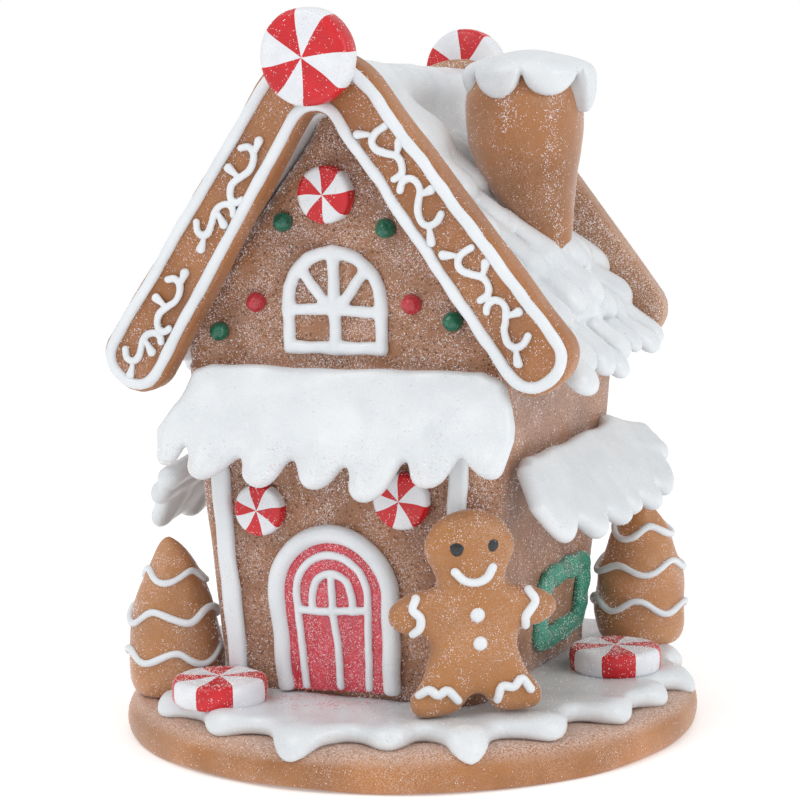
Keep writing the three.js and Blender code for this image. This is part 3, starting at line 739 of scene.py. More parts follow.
@dataclass(frozen=True)
class BakedClay(Finish):
    """Oven-hardened clay dough, shaped by hand and sealed with a thin satin varnish.

    It gives the eye a warm biscuit brown that drifts in tone, a faint gloss, and a pale bloom
    where fine glitter dust has settled on it.
    """

    name: str
    colour: str = "#B4763F"
    deep: str = "#96602F"
    dust: str = "#E4CFC6"
    # painted shade: the dark brown that the pits are darkened towards
    painted_pit_shade: str = "#4A2C1C"
    bloom_colour: str = "#F2E4DE"
    tone_mm: float = 22.0
    dust_share: float = 0.25
    dust_patch_mm: float = 14.0
    dust_on_top: float = 0.0
    pit_shade_and_depth: float = 0.0
    pit_mm: float = 1.3
    grain_mm: float = 0.9
    grain_depth_mm: float = 0.03
    roughness: Pair = (0.42, 0.58)
    bloom: float = 0.25

    def shade(self, tree: NodeTree) -> Node:
        """Mottled brown with pits darkened by painted shade, settled dust, varnish gloss and a fine grain.

        Args:
            tree: the node tree.

        Returns:
            The shader node.
        """
        colour = self.drifting(tree, self.tone_mm, (0.35, 0.65), (self.colour, self.deep))
        dust = self.dust_cover(tree)
        colour = add_node(tree, "ShaderNodeMix", {".data_type": "RGBA", 7: linear(self.dust)},
                          {0: dust, 6: colour}).outputs[2]
        place = add_node(tree, "ShaderNodeTexCoord").outputs["Object"]
        height = add_node(tree, "ShaderNodeTexNoise", {"Scale": 1 / (self.grain_mm * MM), "Detail": 4.0},
                          {"Vector": place}).outputs["Fac"]
        if self.pit_shade_and_depth:
            # Small pits in the rough dough, a little over a millimetre apart as on the real walls; the bump
            # presses them in and their dark colour is painted shade in the hollows.
            cells = add_node(tree, "ShaderNodeTexVoronoi",
                             {"Scale": 1 / (self.pit_mm * MM), "Randomness": 1.0},
                             {"Vector": place})
            pit_shade_and_hollow = add_node(tree, "ShaderNodeMapRange",
                           {"From Min": 0.12, "From Max": 0.3, "To Min": self.pit_shade_and_depth, "To Max": 0.0},
                           {"Value": cells.outputs["Distance"]}).outputs["Result"]
            # Painted shade: the pits' colour is darkened towards a deep brown.
            colour = add_node(tree, "ShaderNodeMix", {".data_type": "RGBA", 7: linear(self.painted_pit_shade)},
                              {0: pit_shade_and_hollow, 6: colour}).outputs[2]
            height = add_node(tree, "ShaderNodeMath", {".operation": "SUBTRACT"},
                              {0: height, 1: pit_shade_and_hollow}).outputs[0]
        bump = add_node(tree, "ShaderNodeBump",
                        {"Strength": 0.6, "Distance": self.grain_depth_mm * MM * 4}, {"Height": height})
        gloss = self.patches(tree, 9, 0.3, 0.7, *self.roughness)
        return add_node(tree, "ShaderNodeBsdfPrincipled",
                        {"IOR": 1.49, "Sheen Weight": self.bloom, "Sheen Roughness": 0.45,
                         "Sheen Tint": linear(self.bloom_colour), "Coat Weight": 0.12, "Coat Roughness": 0.3},
                        {"Base Color": colour, "Roughness": gloss, "Normal": bump.outputs[0]})

    def dust_cover(self, tree: NodeTree) -> NodeSocket:
        """How much glitter dust covers each place.

        Args:
            tree: the node tree.

        Returns:
            The share of dust.
        """
        # Grains of 0.3 mm are drawn for the dust, coarser than its real 0.1 mm, so that they show.
        specks = self.patches(tree, 0.3, 0.5, 0.62, detail=1.0)
        drifts = self.patches(tree, self.dust_patch_mm, 0.36, 0.66, 0.15, 1.0)
        share = add_node(tree, "ShaderNodeMath", {".operation": "MULTIPLY"}, {0: specks, 1: drifts})
        cover = add_node(tree, "ShaderNodeMath", {".operation": "MULTIPLY", 1: self.dust_share * 2},
                         {0: share.outputs[0]}).outputs[0]
        if self.dust_on_top:
            normal = add_node(tree, "ShaderNodeNewGeometry").outputs["Normal"]
            facing = add_node(tree, "ShaderNodeSeparateXYZ", links={0: normal})
            top = add_node(tree, "ShaderNodeMapRange",
                           {"From Min": 0.35, "From Max": 0.95, "To Max": self.dust_on_top},
                           {"Value": facing.outputs["Z"]})
            fine = self.patches(tree, 0.45, 0.36, 0.6, detail=2.0)
            settled = add_node(tree, "ShaderNodeMath", {".operation": "MULTIPLY"},
                               {0: top.outputs[0], 1: fine})
            cover = add_node(tree, "ShaderNodeMath", {".operation": "MAXIMUM"},
                             {0: cover, 1: settled.outputs[0]}).outputs[0]
        return cover


@dataclass(frozen=True)
class PipedIcing(Finish):
    """White air-dry clay rolled and pressed like royal icing, with a satin seal.

    It gives the eye a clean cool white with soft broad highlights and a few sparkling grains.
    """

    name: str
    colour: str = "#DDE1E4"
    shade_colour: str = "#D2D7DB"
    roughness: Pair = (0.3, 0.46)
    sparkle: float = 0.35
    swell_mm: float = 2.2
    swell_depth_mm: float = 0.12

    def shade(self, tree: NodeTree) -> Node:
        """Slightly drifting white with a soft inner glow and a low, slow unevenness.

        Args:
            tree: the node tree.

        Returns:
            The shader node.
        """
        colour = self.drifting(tree, 12, (0.35, 0.7), (self.colour, self.shade_colour))
        # Fine glitter grains are 0.1 mm across and are drawn at 0.28 mm, so that they show.
        grains = self.patches(tree, 0.28, 0.6, 0.7, 0.0, self.sparkle, 1.0)
        colour = add_node(tree, "ShaderNodeMix", {".data_type": "RGBA", 7: linear("#FFFFFF")},
                          {0: grains, 6: colour}).outputs[2]
        place = add_node(tree, "ShaderNodeTexCoord").outputs["Object"]
        swell = add_node(tree, "ShaderNodeTexNoise", {"Scale": 1 / (self.swell_mm * MM), "Detail": 3.0},
                         {"Vector": place})
        bump = add_node(tree, "ShaderNodeBump", {"Strength": 0.35, "Distance": self.swell_depth_mm * MM},
                        {"Height": swell.outputs["Fac"]})
        gloss = self.patches(tree, 6, 0.3, 0.7, *self.roughness)
        return add_node(tree, "ShaderNodeBsdfPrincipled",
                        {"IOR": 1.5, "Subsurface Weight": 0.12, "Subsurface Radius": (1.0, 0.9, 0.8),
                         "Subsurface Scale": 1.2 * MM, "Coat Weight": 0.15, "Coat Roughness": 0.25},
                        {"Base Color": colour, "Roughness": gloss, "Normal": bump.outputs[0]})


@dataclass(frozen=True)
class GlitteredPaint(Finish):
    """Acrylic paint sealed under a coat of fine glitter in clear glue.

    It gives the eye a strong colour broken by dense pale and dark grains.
    """

    name: str
    colour: str
    deep: str
    grain_colour: str
    grain_share: float = 0.55
    roughness: Pair = (0.3, 0.5)
    grain_mm: float = 0.35
    grain_depth_mm: float = 0.12

    def shade(self, tree: NodeTree) -> Node:
        """Colour with a speckle of grains and their relief.

        Args:
            tree: the node tree.

        Returns:
            The shader node.
        """
        colour = self.drifting(tree, 5, (0.35, 0.65), (self.colour, self.deep))
        # Grains of 0.35 mm stand for 0.15 mm glitter, so that they show.
        place = add_node(tree, "ShaderNodeTexCoord").outputs["Object"]
        specks = add_node(tree, "ShaderNodeTexNoise", {"Scale": 1 / (self.grain_mm * MM), "Detail": 2.0},
                          {"Vector": place}).outputs["Fac"]
        grains = add_node(tree, "ShaderNodeMapRange",
                          {"From Min": 0.45, "From Max": 0.68, "To Max": self.grain_share}, {"Value": specks})
        cover = self.patches(tree, 7, 0.3, 0.65, 0.4, 1.0)
        share = add_node(tree, "ShaderNodeMath", {".operation": "MULTIPLY"}, {0: grains.outputs[0], 1: cover})
        colour = add_node(tree, "ShaderNodeMix", {".data_type": "RGBA", 7: linear(self.grain_colour)},
                          {0: share.outputs[0], 6: colour}).outputs[2]
        bump = add_node(tree, "ShaderNodeBump", {"Strength": 0.5, "Distance": self.grain_depth_mm * MM},
                        {"Height": specks})
        gloss = self.patches(tree, 3, 0.3, 0.7, *self.roughness)
        return add_node(tree, "ShaderNodeBsdfPrincipled",
                        {"IOR": 1.49, "Coat Weight": 0.2, "Coat Roughness": 0.2},
                        {"Base Color": colour, "Roughness": gloss, "Normal": bump.outputs[0]})


@dataclass(frozen=True)
class CutFoil(Finish):
    """Glitter of cut polyester film with an aluminium face.

    It gives the eye small hard sparks, each bright or dull by the way it lies, over a faint painted glow in
    each flake's tint.
    """

    name: str
    colour: str = "#FFFFFF"
    second: str = "#F4DCDC"
    roughness: float = 0.28
    painted_glow: float = 0.28

    def shade(self, tree: NodeTree) -> Node:
        """Bare metal film whose tint changes from flake to flake, with a painted glow in that tint.

        Args:
            tree: the node tree.

        Returns:
            The shader node.
        """
        share = self.patches(tree, 0.8, 0.42, 0.58, detail=0.0)
        colour = add_node(tree, "ShaderNodeMix",
                          {".data_type": "RGBA", 6: linear(self.colour), 7: linear(self.second)},
                          {0: share}).outputs[2]
        # Every flake also glows a little in its own tint: a painted glow, so that each one sparkles whichever
        # way it lies.
        return add_node(tree, "ShaderNodeBsdfPrincipled",
                        {"Metallic": 1.0, "Roughness": self.roughness, "Emission Strength": self.painted_glow},
                        {"Base Color": colour, "Emission Color": colour})


@dataclass(frozen=True)
class SeamlessPaper(Finish):
    """Matt white backdrop paper, which gives the eye nothing but a soft shadow."""

    name: str = "seamless_paper_matt"
    colour: str = "#FBFBFB"
    tooth: str = "#F8F8F8"
    glow: float = 0.28

    def shade(self, tree: NodeTree) -> Node:
        """Near white with a barely visible tooth.

        Args:
            tree: the node tree.

        Returns:
            The shader node.
        """
        colour = self.drifting(tree, 40, (0.4, 0.6), (self.colour, self.tooth))
        # The paper glows a little, so that it stays white far from the lamps.
        return add_node(tree, "ShaderNodeBsdfPrincipled", {"Roughness": 0.9, "Emission Strength": self.glow},
                        {"Base Color": colour, "Emission Color": colour})


class Palette:
    """The finishes of this ornament."""

    BASE = BakedClay("baked_clay_base", dust_share=0.2, dust_on_top=0.75, bloom=0.3)
    WALL = BakedClay("baked_clay_wall_glittered", colour="#A26B42", deep="#845536", dust_share=0.38,
                     dust_patch_mm=9, pit_shade_and_depth=0.8, grain_depth_mm=0.06, bloom=0.35)
    BOARD = BakedClay("baked_clay_board", colour="#A36733", deep="#905829", dust_share=0.16, bloom=0.2)
    BOARD_DUSTED = BakedClay("baked_clay_board_dusted", colour="#A87448", deep="#94643E", dust_share=0.5,
                             dust_patch_mm=20, bloom=0.3)
    CHIMNEY = BakedClay("baked_clay_chimney", colour="#A56B3A", deep="#8E5A2C", dust_share=0.18, bloom=0.6)
    FIGURE = BakedClay("baked_clay_figure", colour="#AC7139", deep="#98612B", dust_share=0.16, bloom=0.35)
    TREE = BakedClay("baked_clay_tree", colour="#B67A46", deep="#A06A3A", dust_share=0.22, bloom=0.4)
    ICING = PipedIcing("pressed_icing_satin")
    PIPING = PipedIcing("piped_icing_satin", colour="#E0E4E8", shade_colour="#D8DDE1", sparkle=0.2)
    MINT_WHITE = GlitteredPaint("peppermint_white_glittered", "#E2E5E9", "#DADDE3", "#F6F6FA", 0.3)
    MINT_RED = GlitteredPaint("peppermint_red_glittered", "#CC0617", "#BC0414", "#E03A48", 0.3)
    DOOR_RED = GlitteredPaint("door_red_glittered", "#CA2436", "#B21A2C", "#EC98A4", 0.7)
    BEAD_RED = GlitteredPaint("bead_red_gloss", "#B9202F", "#A01626", "#E88088", 0.4, (0.15, 0.3))
    BEAD_GREEN = GlitteredPaint("bead_green_gloss", "#06664A", "#04523C", "#5FA890", 0.35, (0.12, 0.25))
    FRAME_GREEN = GlitteredPaint("frame_green_glittered", "#109074", "#0C7860", "#AED2C6", 0.6)
    EYE = GlitteredPaint("eye_black_gloss", "#17181C", "#0E0F12", "#777A84", 0.35, (0.15, 0.3))
    SILVER_FLAKE = CutFoil("cut_foil_pearl")
    RED_FLAKE = CutFoil("cut_foil_red", "#E05A66", "#C83846")


# ---------------------------------------------------------------- pieces


@dataclass
class Piece:
    """One separate piece of the ornament and what it stands for."""

    name: str
    shell: Shell
    finishes: Sequence[Finish]
    nodes: Sequence[str] = ()
    slot: str = ""

    def install(self) -> Object:
        """Makes the object, rides it on the body and hides the CAD nodes that it stands for.

        Returns:
            The object.
        """
        made = self.shell.to_object(self.name, [finish.material() for finish in self.finishes])
        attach(made, "root")
        if self.nodes:
            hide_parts(*self.nodes)
        count = 2 * len(self.shell.quads) + len(self.shell.triangles)
        LOG.info("%s: %d triangles, stands for %s", self.name, count, ", ".join(self.nodes) or "no node")
        return made


def ring_angles(count: int) -> Array:
    """Even angles round a circle."""
    return np.linspace(0, 2 * math.pi, count, endpoint=False)


@dataclass
class CookieBase:
    """The round cookie under everything, with a soft upper edge."""

    radius: float = 80.0
    height: float = 10.0

    def build(self) -> list[Piece]:
        """The base as one turned body with a hand-patted edge.

        Returns:
            The pieces.
        """
        r, h = self.radius, self.height
        rim = spline([(r - 2.2, 0.0), (r - 0.5, 0.7), (r, 2.6), (r - 0.3, 5.4), (r - 1.3, 7.7),
                      (r - 3.3, 9.3),
                      (r - 6.5, h)], 0.8)
        inner = np.linspace(r - 8, 4, 24)
        under = np.linspace(4, r - 4, 12)
        profile = np.concatenate([[(0, 0)], np.stack([under, 0 * under], 1), rim,
                                  np.stack([inner, 0 * inner + h], 1), [(0, h)]])
        shell = turned(profile, ring_angles(200)).handled(0.32, 34, 11)
        shell.points[:, 2] = np.maximum(shell.points[:, 2], 0)
        return [Piece("cookie_base", shell, [Palette.BASE], ["base"], "clay")]


@dataclass
class GroundSnow:
    """The sheet of icing on the base, with a thick round lip that sinks over the base's rim."""

    low: float = 9.9
    top: float = 15.0
    lip: float = 2.3
    rim_start: float = 72.5
    tree: Triple = (-54.8, -38.0, 12.9)
    lobes: Sequence[Pair] = (
        (-150, 66), (-135, 71), (-127, 76.5), (-117, 72.5), (-108, 76.5), (-99, 71), (-89, 80), (-79, 70),
        (-71, 75), (-64, 68.5), (-56, 80), (-48, 71), (-38, 76), (-28, 67), (-20, 76), (-11, 71.5),
        (-4, 76), (3, 71), (12, 79), (22, 73), (32, 78), (45, 72), (58, 77), (72, 71), (86, 77.5),
        (101, 70.5), (115, 76), (129, 71), (143, 77), (157, 70), (170, 76), (182, 69), (194, 75.5),
        (203, 68), (210, 66))

    def edge(self, degrees: Array) -> Array:
        """Radius of the sheet's edge at angles, swinging smoothly from lobe to bay.

        Args:
            degrees: directions from the middle.

        Returns:
            One radius for each angle.
        """
        marks, radii = np.array(self.lobes).T
        degrees = (degrees + 150) % 360 - 150
        i = np.clip(np.searchsorted(marks, degrees, "right") - 1, 0, len(marks) - 2)
        t = (degrees - marks[i]) / (marks[i + 1] - marks[i])
        return radii[i] + (radii[i + 1] - radii[i]) * (1 - np.cos(math.pi * t)) / 2

    def build(self) -> list[Piece]:
        """The sheet with a swelling in each lobe, bent over the rim.

        Returns:
            The pieces.
        """
        volume = ClayVolume((-82, -82, self.low), (82, 82, self.top + 1), 1.05)
        degrees = np.arange(0, 360, 1.6)
        radius = self.edge(degrees)
        outline = np.stack([radius * np.cos(np.radians(degrees)), radius * np.sin(np.radians(degrees))], 1)
        volume.slab(outline, self.low, self.top, self.lip)
        lobes = np.array(self.lobes)
        for i in range(1, len(lobes) - 1):
            if lobes[i, 1] < max(lobes[i - 1, 1], lobes[i + 1, 1]):
                continue
            angle = math.radians(lobes[i, 0])
            spots = [[r * math.cos(angle), r * math.sin(angle), 12.7]
                     for r in (lobes[i, 1] - 15, lobes[i, 1] - 4.6)]
            volume.tongue(*spots, (3.0, 4.8), 2.0, 0.6)
        x, y, _ = volume.places()
        volume.carve(self.tree[2] - np.hypot(x - self.tree[0], y - self.tree[1]) + 0 * volume.field, 1.0)
        shell = volume.skin(3).moved(self.draped)
        return [Piece("icing_ground_sheet", shell, [Palette.ICING], ["ground_snow"], "icing")]

    def draped(self, points: Array) -> Array:
        """Points near the edge let down over the round rim, with slow swells on the top.

        Args:
            points: points in mm.

        Returns:
            The moved points.
        """
        out = points.copy()
        reach = np.maximum(np.hypot(points[:, 0], points[:, 1]) - self.rim_start, 0)
        out[:, 2] -= 0.058 * reach**2
        above = np.clip((points[:, 2] - self.low) / (self.top - self.low), 0, 1)
        out[:, 2] += above * wobble(points * [1, 1, 0], 17, 0.22, 5)[:, 2]
        return out


@dataclass
class House:
    """The flared walls and the two gables, as one body under the roof."""

    x: float = -0.5
    floor: float = 15.0
    half: float = 37.9
    front: float = -42.8
    rear: float = 44.0
    corner: float = 7.0
    flare: float = 5.5
    front_lean: float = 1.0
    rear_lean: float = 4.0
    set_back: float = 102.0
    gable_front: float = -43.2
    gable_rear: float = 41.0
    gable_lean: float = 2.0
    pitch: float = 51.0
    slope_distance: float = 107.5
    wall_floor: float = 15.3
    arc_steps: int = 8
    side_steps: int = 14

    def wall(self, turn: float) -> FaceFrame:
        """The frame at the foot of the front, right, rear or left wall.

        Args:
            turn: which wall, by its turn in degrees.

        Returns:
            The frame.
        """
        middle = (self.front + self.rear) / 2
        return {
            0: FaceFrame(self.x, self.front, self.wall_floor, 0, self.front_lean),
            180: FaceFrame(self.x, self.rear, self.wall_floor, 180, self.rear_lean),
            90: FaceFrame(self.x + self.half, middle, self.wall_floor, 90, self.flare),
            -90: FaceFrame(self.x - self.half, middle, self.wall_floor, -90, self.flare),
        }[turn]

    def gable(self, turn: float) -> FaceFrame:
        """The frame at the foot of the front or the rear gable."""
        y = self.gable_front if turn == 0 else self.gable_rear
        return FaceFrame(self.x, y, self.set_back, turn, self.gable_lean)

    def along(self, y: float) -> float:
        """How far from the middle of a side wall a place lies."""
        return y - (self.front + self.rear) / 2

    def half_under_roof(self, z: float) -> float:
        """Half width of the gable at a height."""
        pitch = math.radians(self.pitch)
        return (self.slope_distance - z * math.cos(pitch)) / math.sin(pitch)

    def ring(self, z: float) -> Array:
        """One level ring: a rectangle with round corners and evenly divided sides.

        Args:
            z: height.

        Returns:
            The ring's points.
        """
        up, above = z - self.floor, z - self.set_back
        flare, front_lean, rear_lean, gable_lean = (
            math.tan(math.radians(a)) for a in (self.flare, self.front_lean, self.rear_lean, self.gable_lean))
        if above < 0:
            front, rear = self.front - up * front_lean, self.rear + up * rear_lean
        else:
            front, rear = self.gable_front - above * gable_lean, self.gable_rear + above * gable_lean
        limit = self.half_under_roof(z)
        half = min(self.half + up * flare, limit)
        r = min(self.corner, max(limit - 0.5, 0.5))
        corners = [(front, -1, 1), (rear, 1, 1), (rear, 1, -1), (front, -1, -1)]

        def on_arc(corner: int, degrees: float) -> Triple:
            """A place on the arc of a corner.

            Args:
                corner: its number, from the front right one on.
                degrees: the direction from the arc's middle.

            Returns:
                The place.
            """
            y, end, side = corners[corner % 4]
            a = math.radians(degrees)
            return self.x + side * (half - r) + r * math.cos(a), y - end * r + r * math.sin(a), z

        points = []
        for c in range(4):
            points += [on_arc(c, -90 + 90 * c + 90 * step / self.arc_steps)
                       for step in range(self.arc_steps + 1)]
            last, after = points[-1], on_arc(c + 1, 90 * c)
            for step in range(1, self.side_steps):
                points.append(tuple(last[k] + (after[k] - last[k]) * step / self.side_steps
                                    for k in range(3)))
        return np.array(points)

    def build(self) -> list[Piece]:
        """The body, lofted from the floor to just under the ridge.

        Returns:
            The pieces.
        """
        top = self.slope_distance / math.cos(math.radians(self.pitch)) - 2
        levels = sorted([*np.linspace(self.floor, top, 60), self.set_back - 0.4, self.set_back + 0.4])
        rings = [self.ring(z) for z in levels]
        count = len(rings[0])
        lower = rings[0].mean(0)
        upper = rings[-1].mean(0)
        quads = grid_faces(len(rings), count, (False, True))[:, [0, 3, 2, 1]]
        points = np.concatenate([*rings, [lower, upper]])
        ring = np.arange(count)
        below = fan(len(rings) * count, ring)[:, [0, 2, 1]]
        above = fan(len(rings) * count + 1, (len(rings) - 1) * count + ring)
        shell = Shell(points, quads, np.concatenate([below, above])).handled(0.22, 24, 21)
        return [Piece("clay_house_walls", shell, [Palette.WALL], ["house_body"], "clay")]


@dataclass
class Roof:
    """Icing on both slopes in tiers of overlapping round lobes, joined by a smooth fold over the ridge."""

    house: House
    boards: "GableBoards"
    inner: float = 107.7
    sheet: float = 3.1
    ends: Sequence[float] = (94.0, 80.0, 66.0, 52.0, 37.0)
    lobes: int = 8
    lobe_length: float = 19.0
    half_width: Pair = (4.7, 5.9)
    flat: float = 0.62
    lift: float = 1.1
    fan_out: float = 8.0
    ridge_radius: float = 6.2
    mound_height: float = 6.5
    mound_middle: Pair = (3.0, 71.0)
    mound_reach: Pair = (14.0, 11.5)

    def on_slope(self, side: int, along: float, down: float, out: float) -> Array:
        """A place on a slope: along the ridge, down from it and out of the slope.

        Args:
            side: 1 for the right side and -1 for the left one.
            along: how far along the ridge, in mm.
            down: how far down the slope, in mm.
            out: how far out of the slope, in mm.

        Returns:
            The place.
        """
        sin, cos = self.slope()
        across = down * cos + out * sin
        z = self.inner / cos - down * sin + out * cos
        return np.array([self.house.x + side * across, along, z])

    def front_limit(self, z: float) -> float:
        """Back face of the front board at a height."""
        place, lean = self.boards.front, math.radians(self.boards.front.lean)
        return place.y + self.boards.thick / math.cos(lean) - (z - place.z) * math.tan(lean)

    def rear_limit(self, z: float) -> float:
        """Inner face of the rear board at a height."""
        place, lean = self.boards.rear, math.radians(self.boards.rear.lean)
        return place.y - self.boards.thick + (z - place.z) * math.tan(lean)

    def mound(self, along: Array | float, down: Array | float) -> Array:
        """How much higher the icing is piled round the chimney's foot."""
        (across, below), (wide, high) = self.mound_middle, self.mound_reach
        return self.mound_height * np.exp(-(((along - across) / wide) ** 2) - ((down - below) / high) ** 2)

    def build(self) -> list[Piece]:
        """The two slopes pressed into one volume and trimmed at the boards.

        Returns:
            The pieces.
        """
        volume = ClayVolume((-71, -53, 86), (70, 45, 184), 1.0)
        self.add_sheet(volume)
        self.add_lobes(volume)
        self.add_ridge(volume)
        ends = ((self.boards.front, self.front_limit, -1, 0.2), (self.boards.rear, self.rear_limit, 1, 0.4))
        for board, limit, way, gap in ends:
            lean = math.radians(board.lean)
            volume.trim((0, limit(board.z) + gap, board.z), (0, way * math.cos(lean), -math.sin(lean)), 0.8)
        shell = volume.skin(3).handled(0.16, 13, 31)
        return [Piece("icing_roof_shingles", shell, [Palette.ICING], ["roof_icing"], "icing")]

    def slope(self) -> Pair:
        """Sine and cosine of the roof's pitch."""
        pitch = math.radians(self.house.pitch)
        return math.sin(pitch), math.cos(pitch)

    def add_sheet(self, volume: ClayVolume) -> None:
        """The even sheet on both slopes, thicker round the chimney's foot.

        Args:
            volume: the volume to add to.
        """
        sin, cos = self.slope()
        x, y, z = volume.places()
        out = np.abs(x - self.house.x) * sin + z * cos - self.inner
        down = np.abs(x - self.house.x) * cos - (z - self.inner / cos) * sin
        piled = np.where(x > self.house.x, self.mound(y, down), 0.0)
        body = np.maximum(np.maximum(out - self.sheet - piled, -0.6 - out),
                          down - (self.ends[0] - 14)) + 0 * y
        volume.press(body)

    def add_lobes(self, volume: ClayVolume) -> None:
        """The tiers of round lobes, which fan out towards the rear.

        Args:
            volume: the volume to add to.
        """
        sin, cos = self.slope()
        rng = np.random.default_rng(7)
        for side, (tier, end) in product((-1, 1), enumerate(self.ends)):
            z_end = self.inner / cos - end * sin
            start_y, stop_y = self.front_limit(z_end) + 3.0, self.rear_limit(z_end) - 3.4
            for i in range(self.lobes):
                share = (i + 0.5 + 0.25 * (-1) ** tier) / self.lobes
                along = start_y + (stop_y - start_y) * share + rng.uniform(-0.8, 0.8)
                fan_out = self.fan_out * max(share - 0.3, 0.0)
                reach = end + rng.uniform(-2.5, 2.5)
                if tier == 0:
                    reach += 6.0 * max(1 - share / 0.3, 0.0) + 4.5 * math.exp(-(((share - 0.42) / 0.2) ** 2))
                    reach += rng.uniform(-2, 1)
                r = rng.uniform(*self.half_width) * (1.05 - 0.25 * share if tier == 0 else 1.0)
                level = self.sheet + self.lift + rng.uniform(-0.4, 0.6)
                if side > 0:
                    level += self.mound(along, reach)
                tip = self.on_slope(side, min(along + fan_out, stop_y + 0.5), reach - r, level)
                back = self.on_slope(side, along - fan_out * 0.8,
                                     max(reach - self.lobe_length, 2), level - 2.4)
                volume.tongue(back, tip, (r * 0.75, r), 0.5, self.flat, (side * sin, 0.0, cos))

    def add_ridge(self, volume: ClayVolume) -> None:
        """The fold over the ridge, which runs over into the right slope near its middle.

        Args:
            volume: the volume to add to.
        """
        sin, cos = self.slope()
        r = self.ridge_radius
        ridge = self.inner / cos + 3.2
        volume.bead(np.array([[self.house.x, -54, ridge], [self.house.x + 0.6, -10, ridge + 0.5],
                              [self.house.x, 44, ridge]]), (r, r), 6.0)
        volume.tongue((self.house.x + 1.5, -24, ridge + 0.5), (self.house.x + 13, -10, ridge - 12),
                      (6.0, 6.5), 4.0, 0.6, (sin, 0, cos))


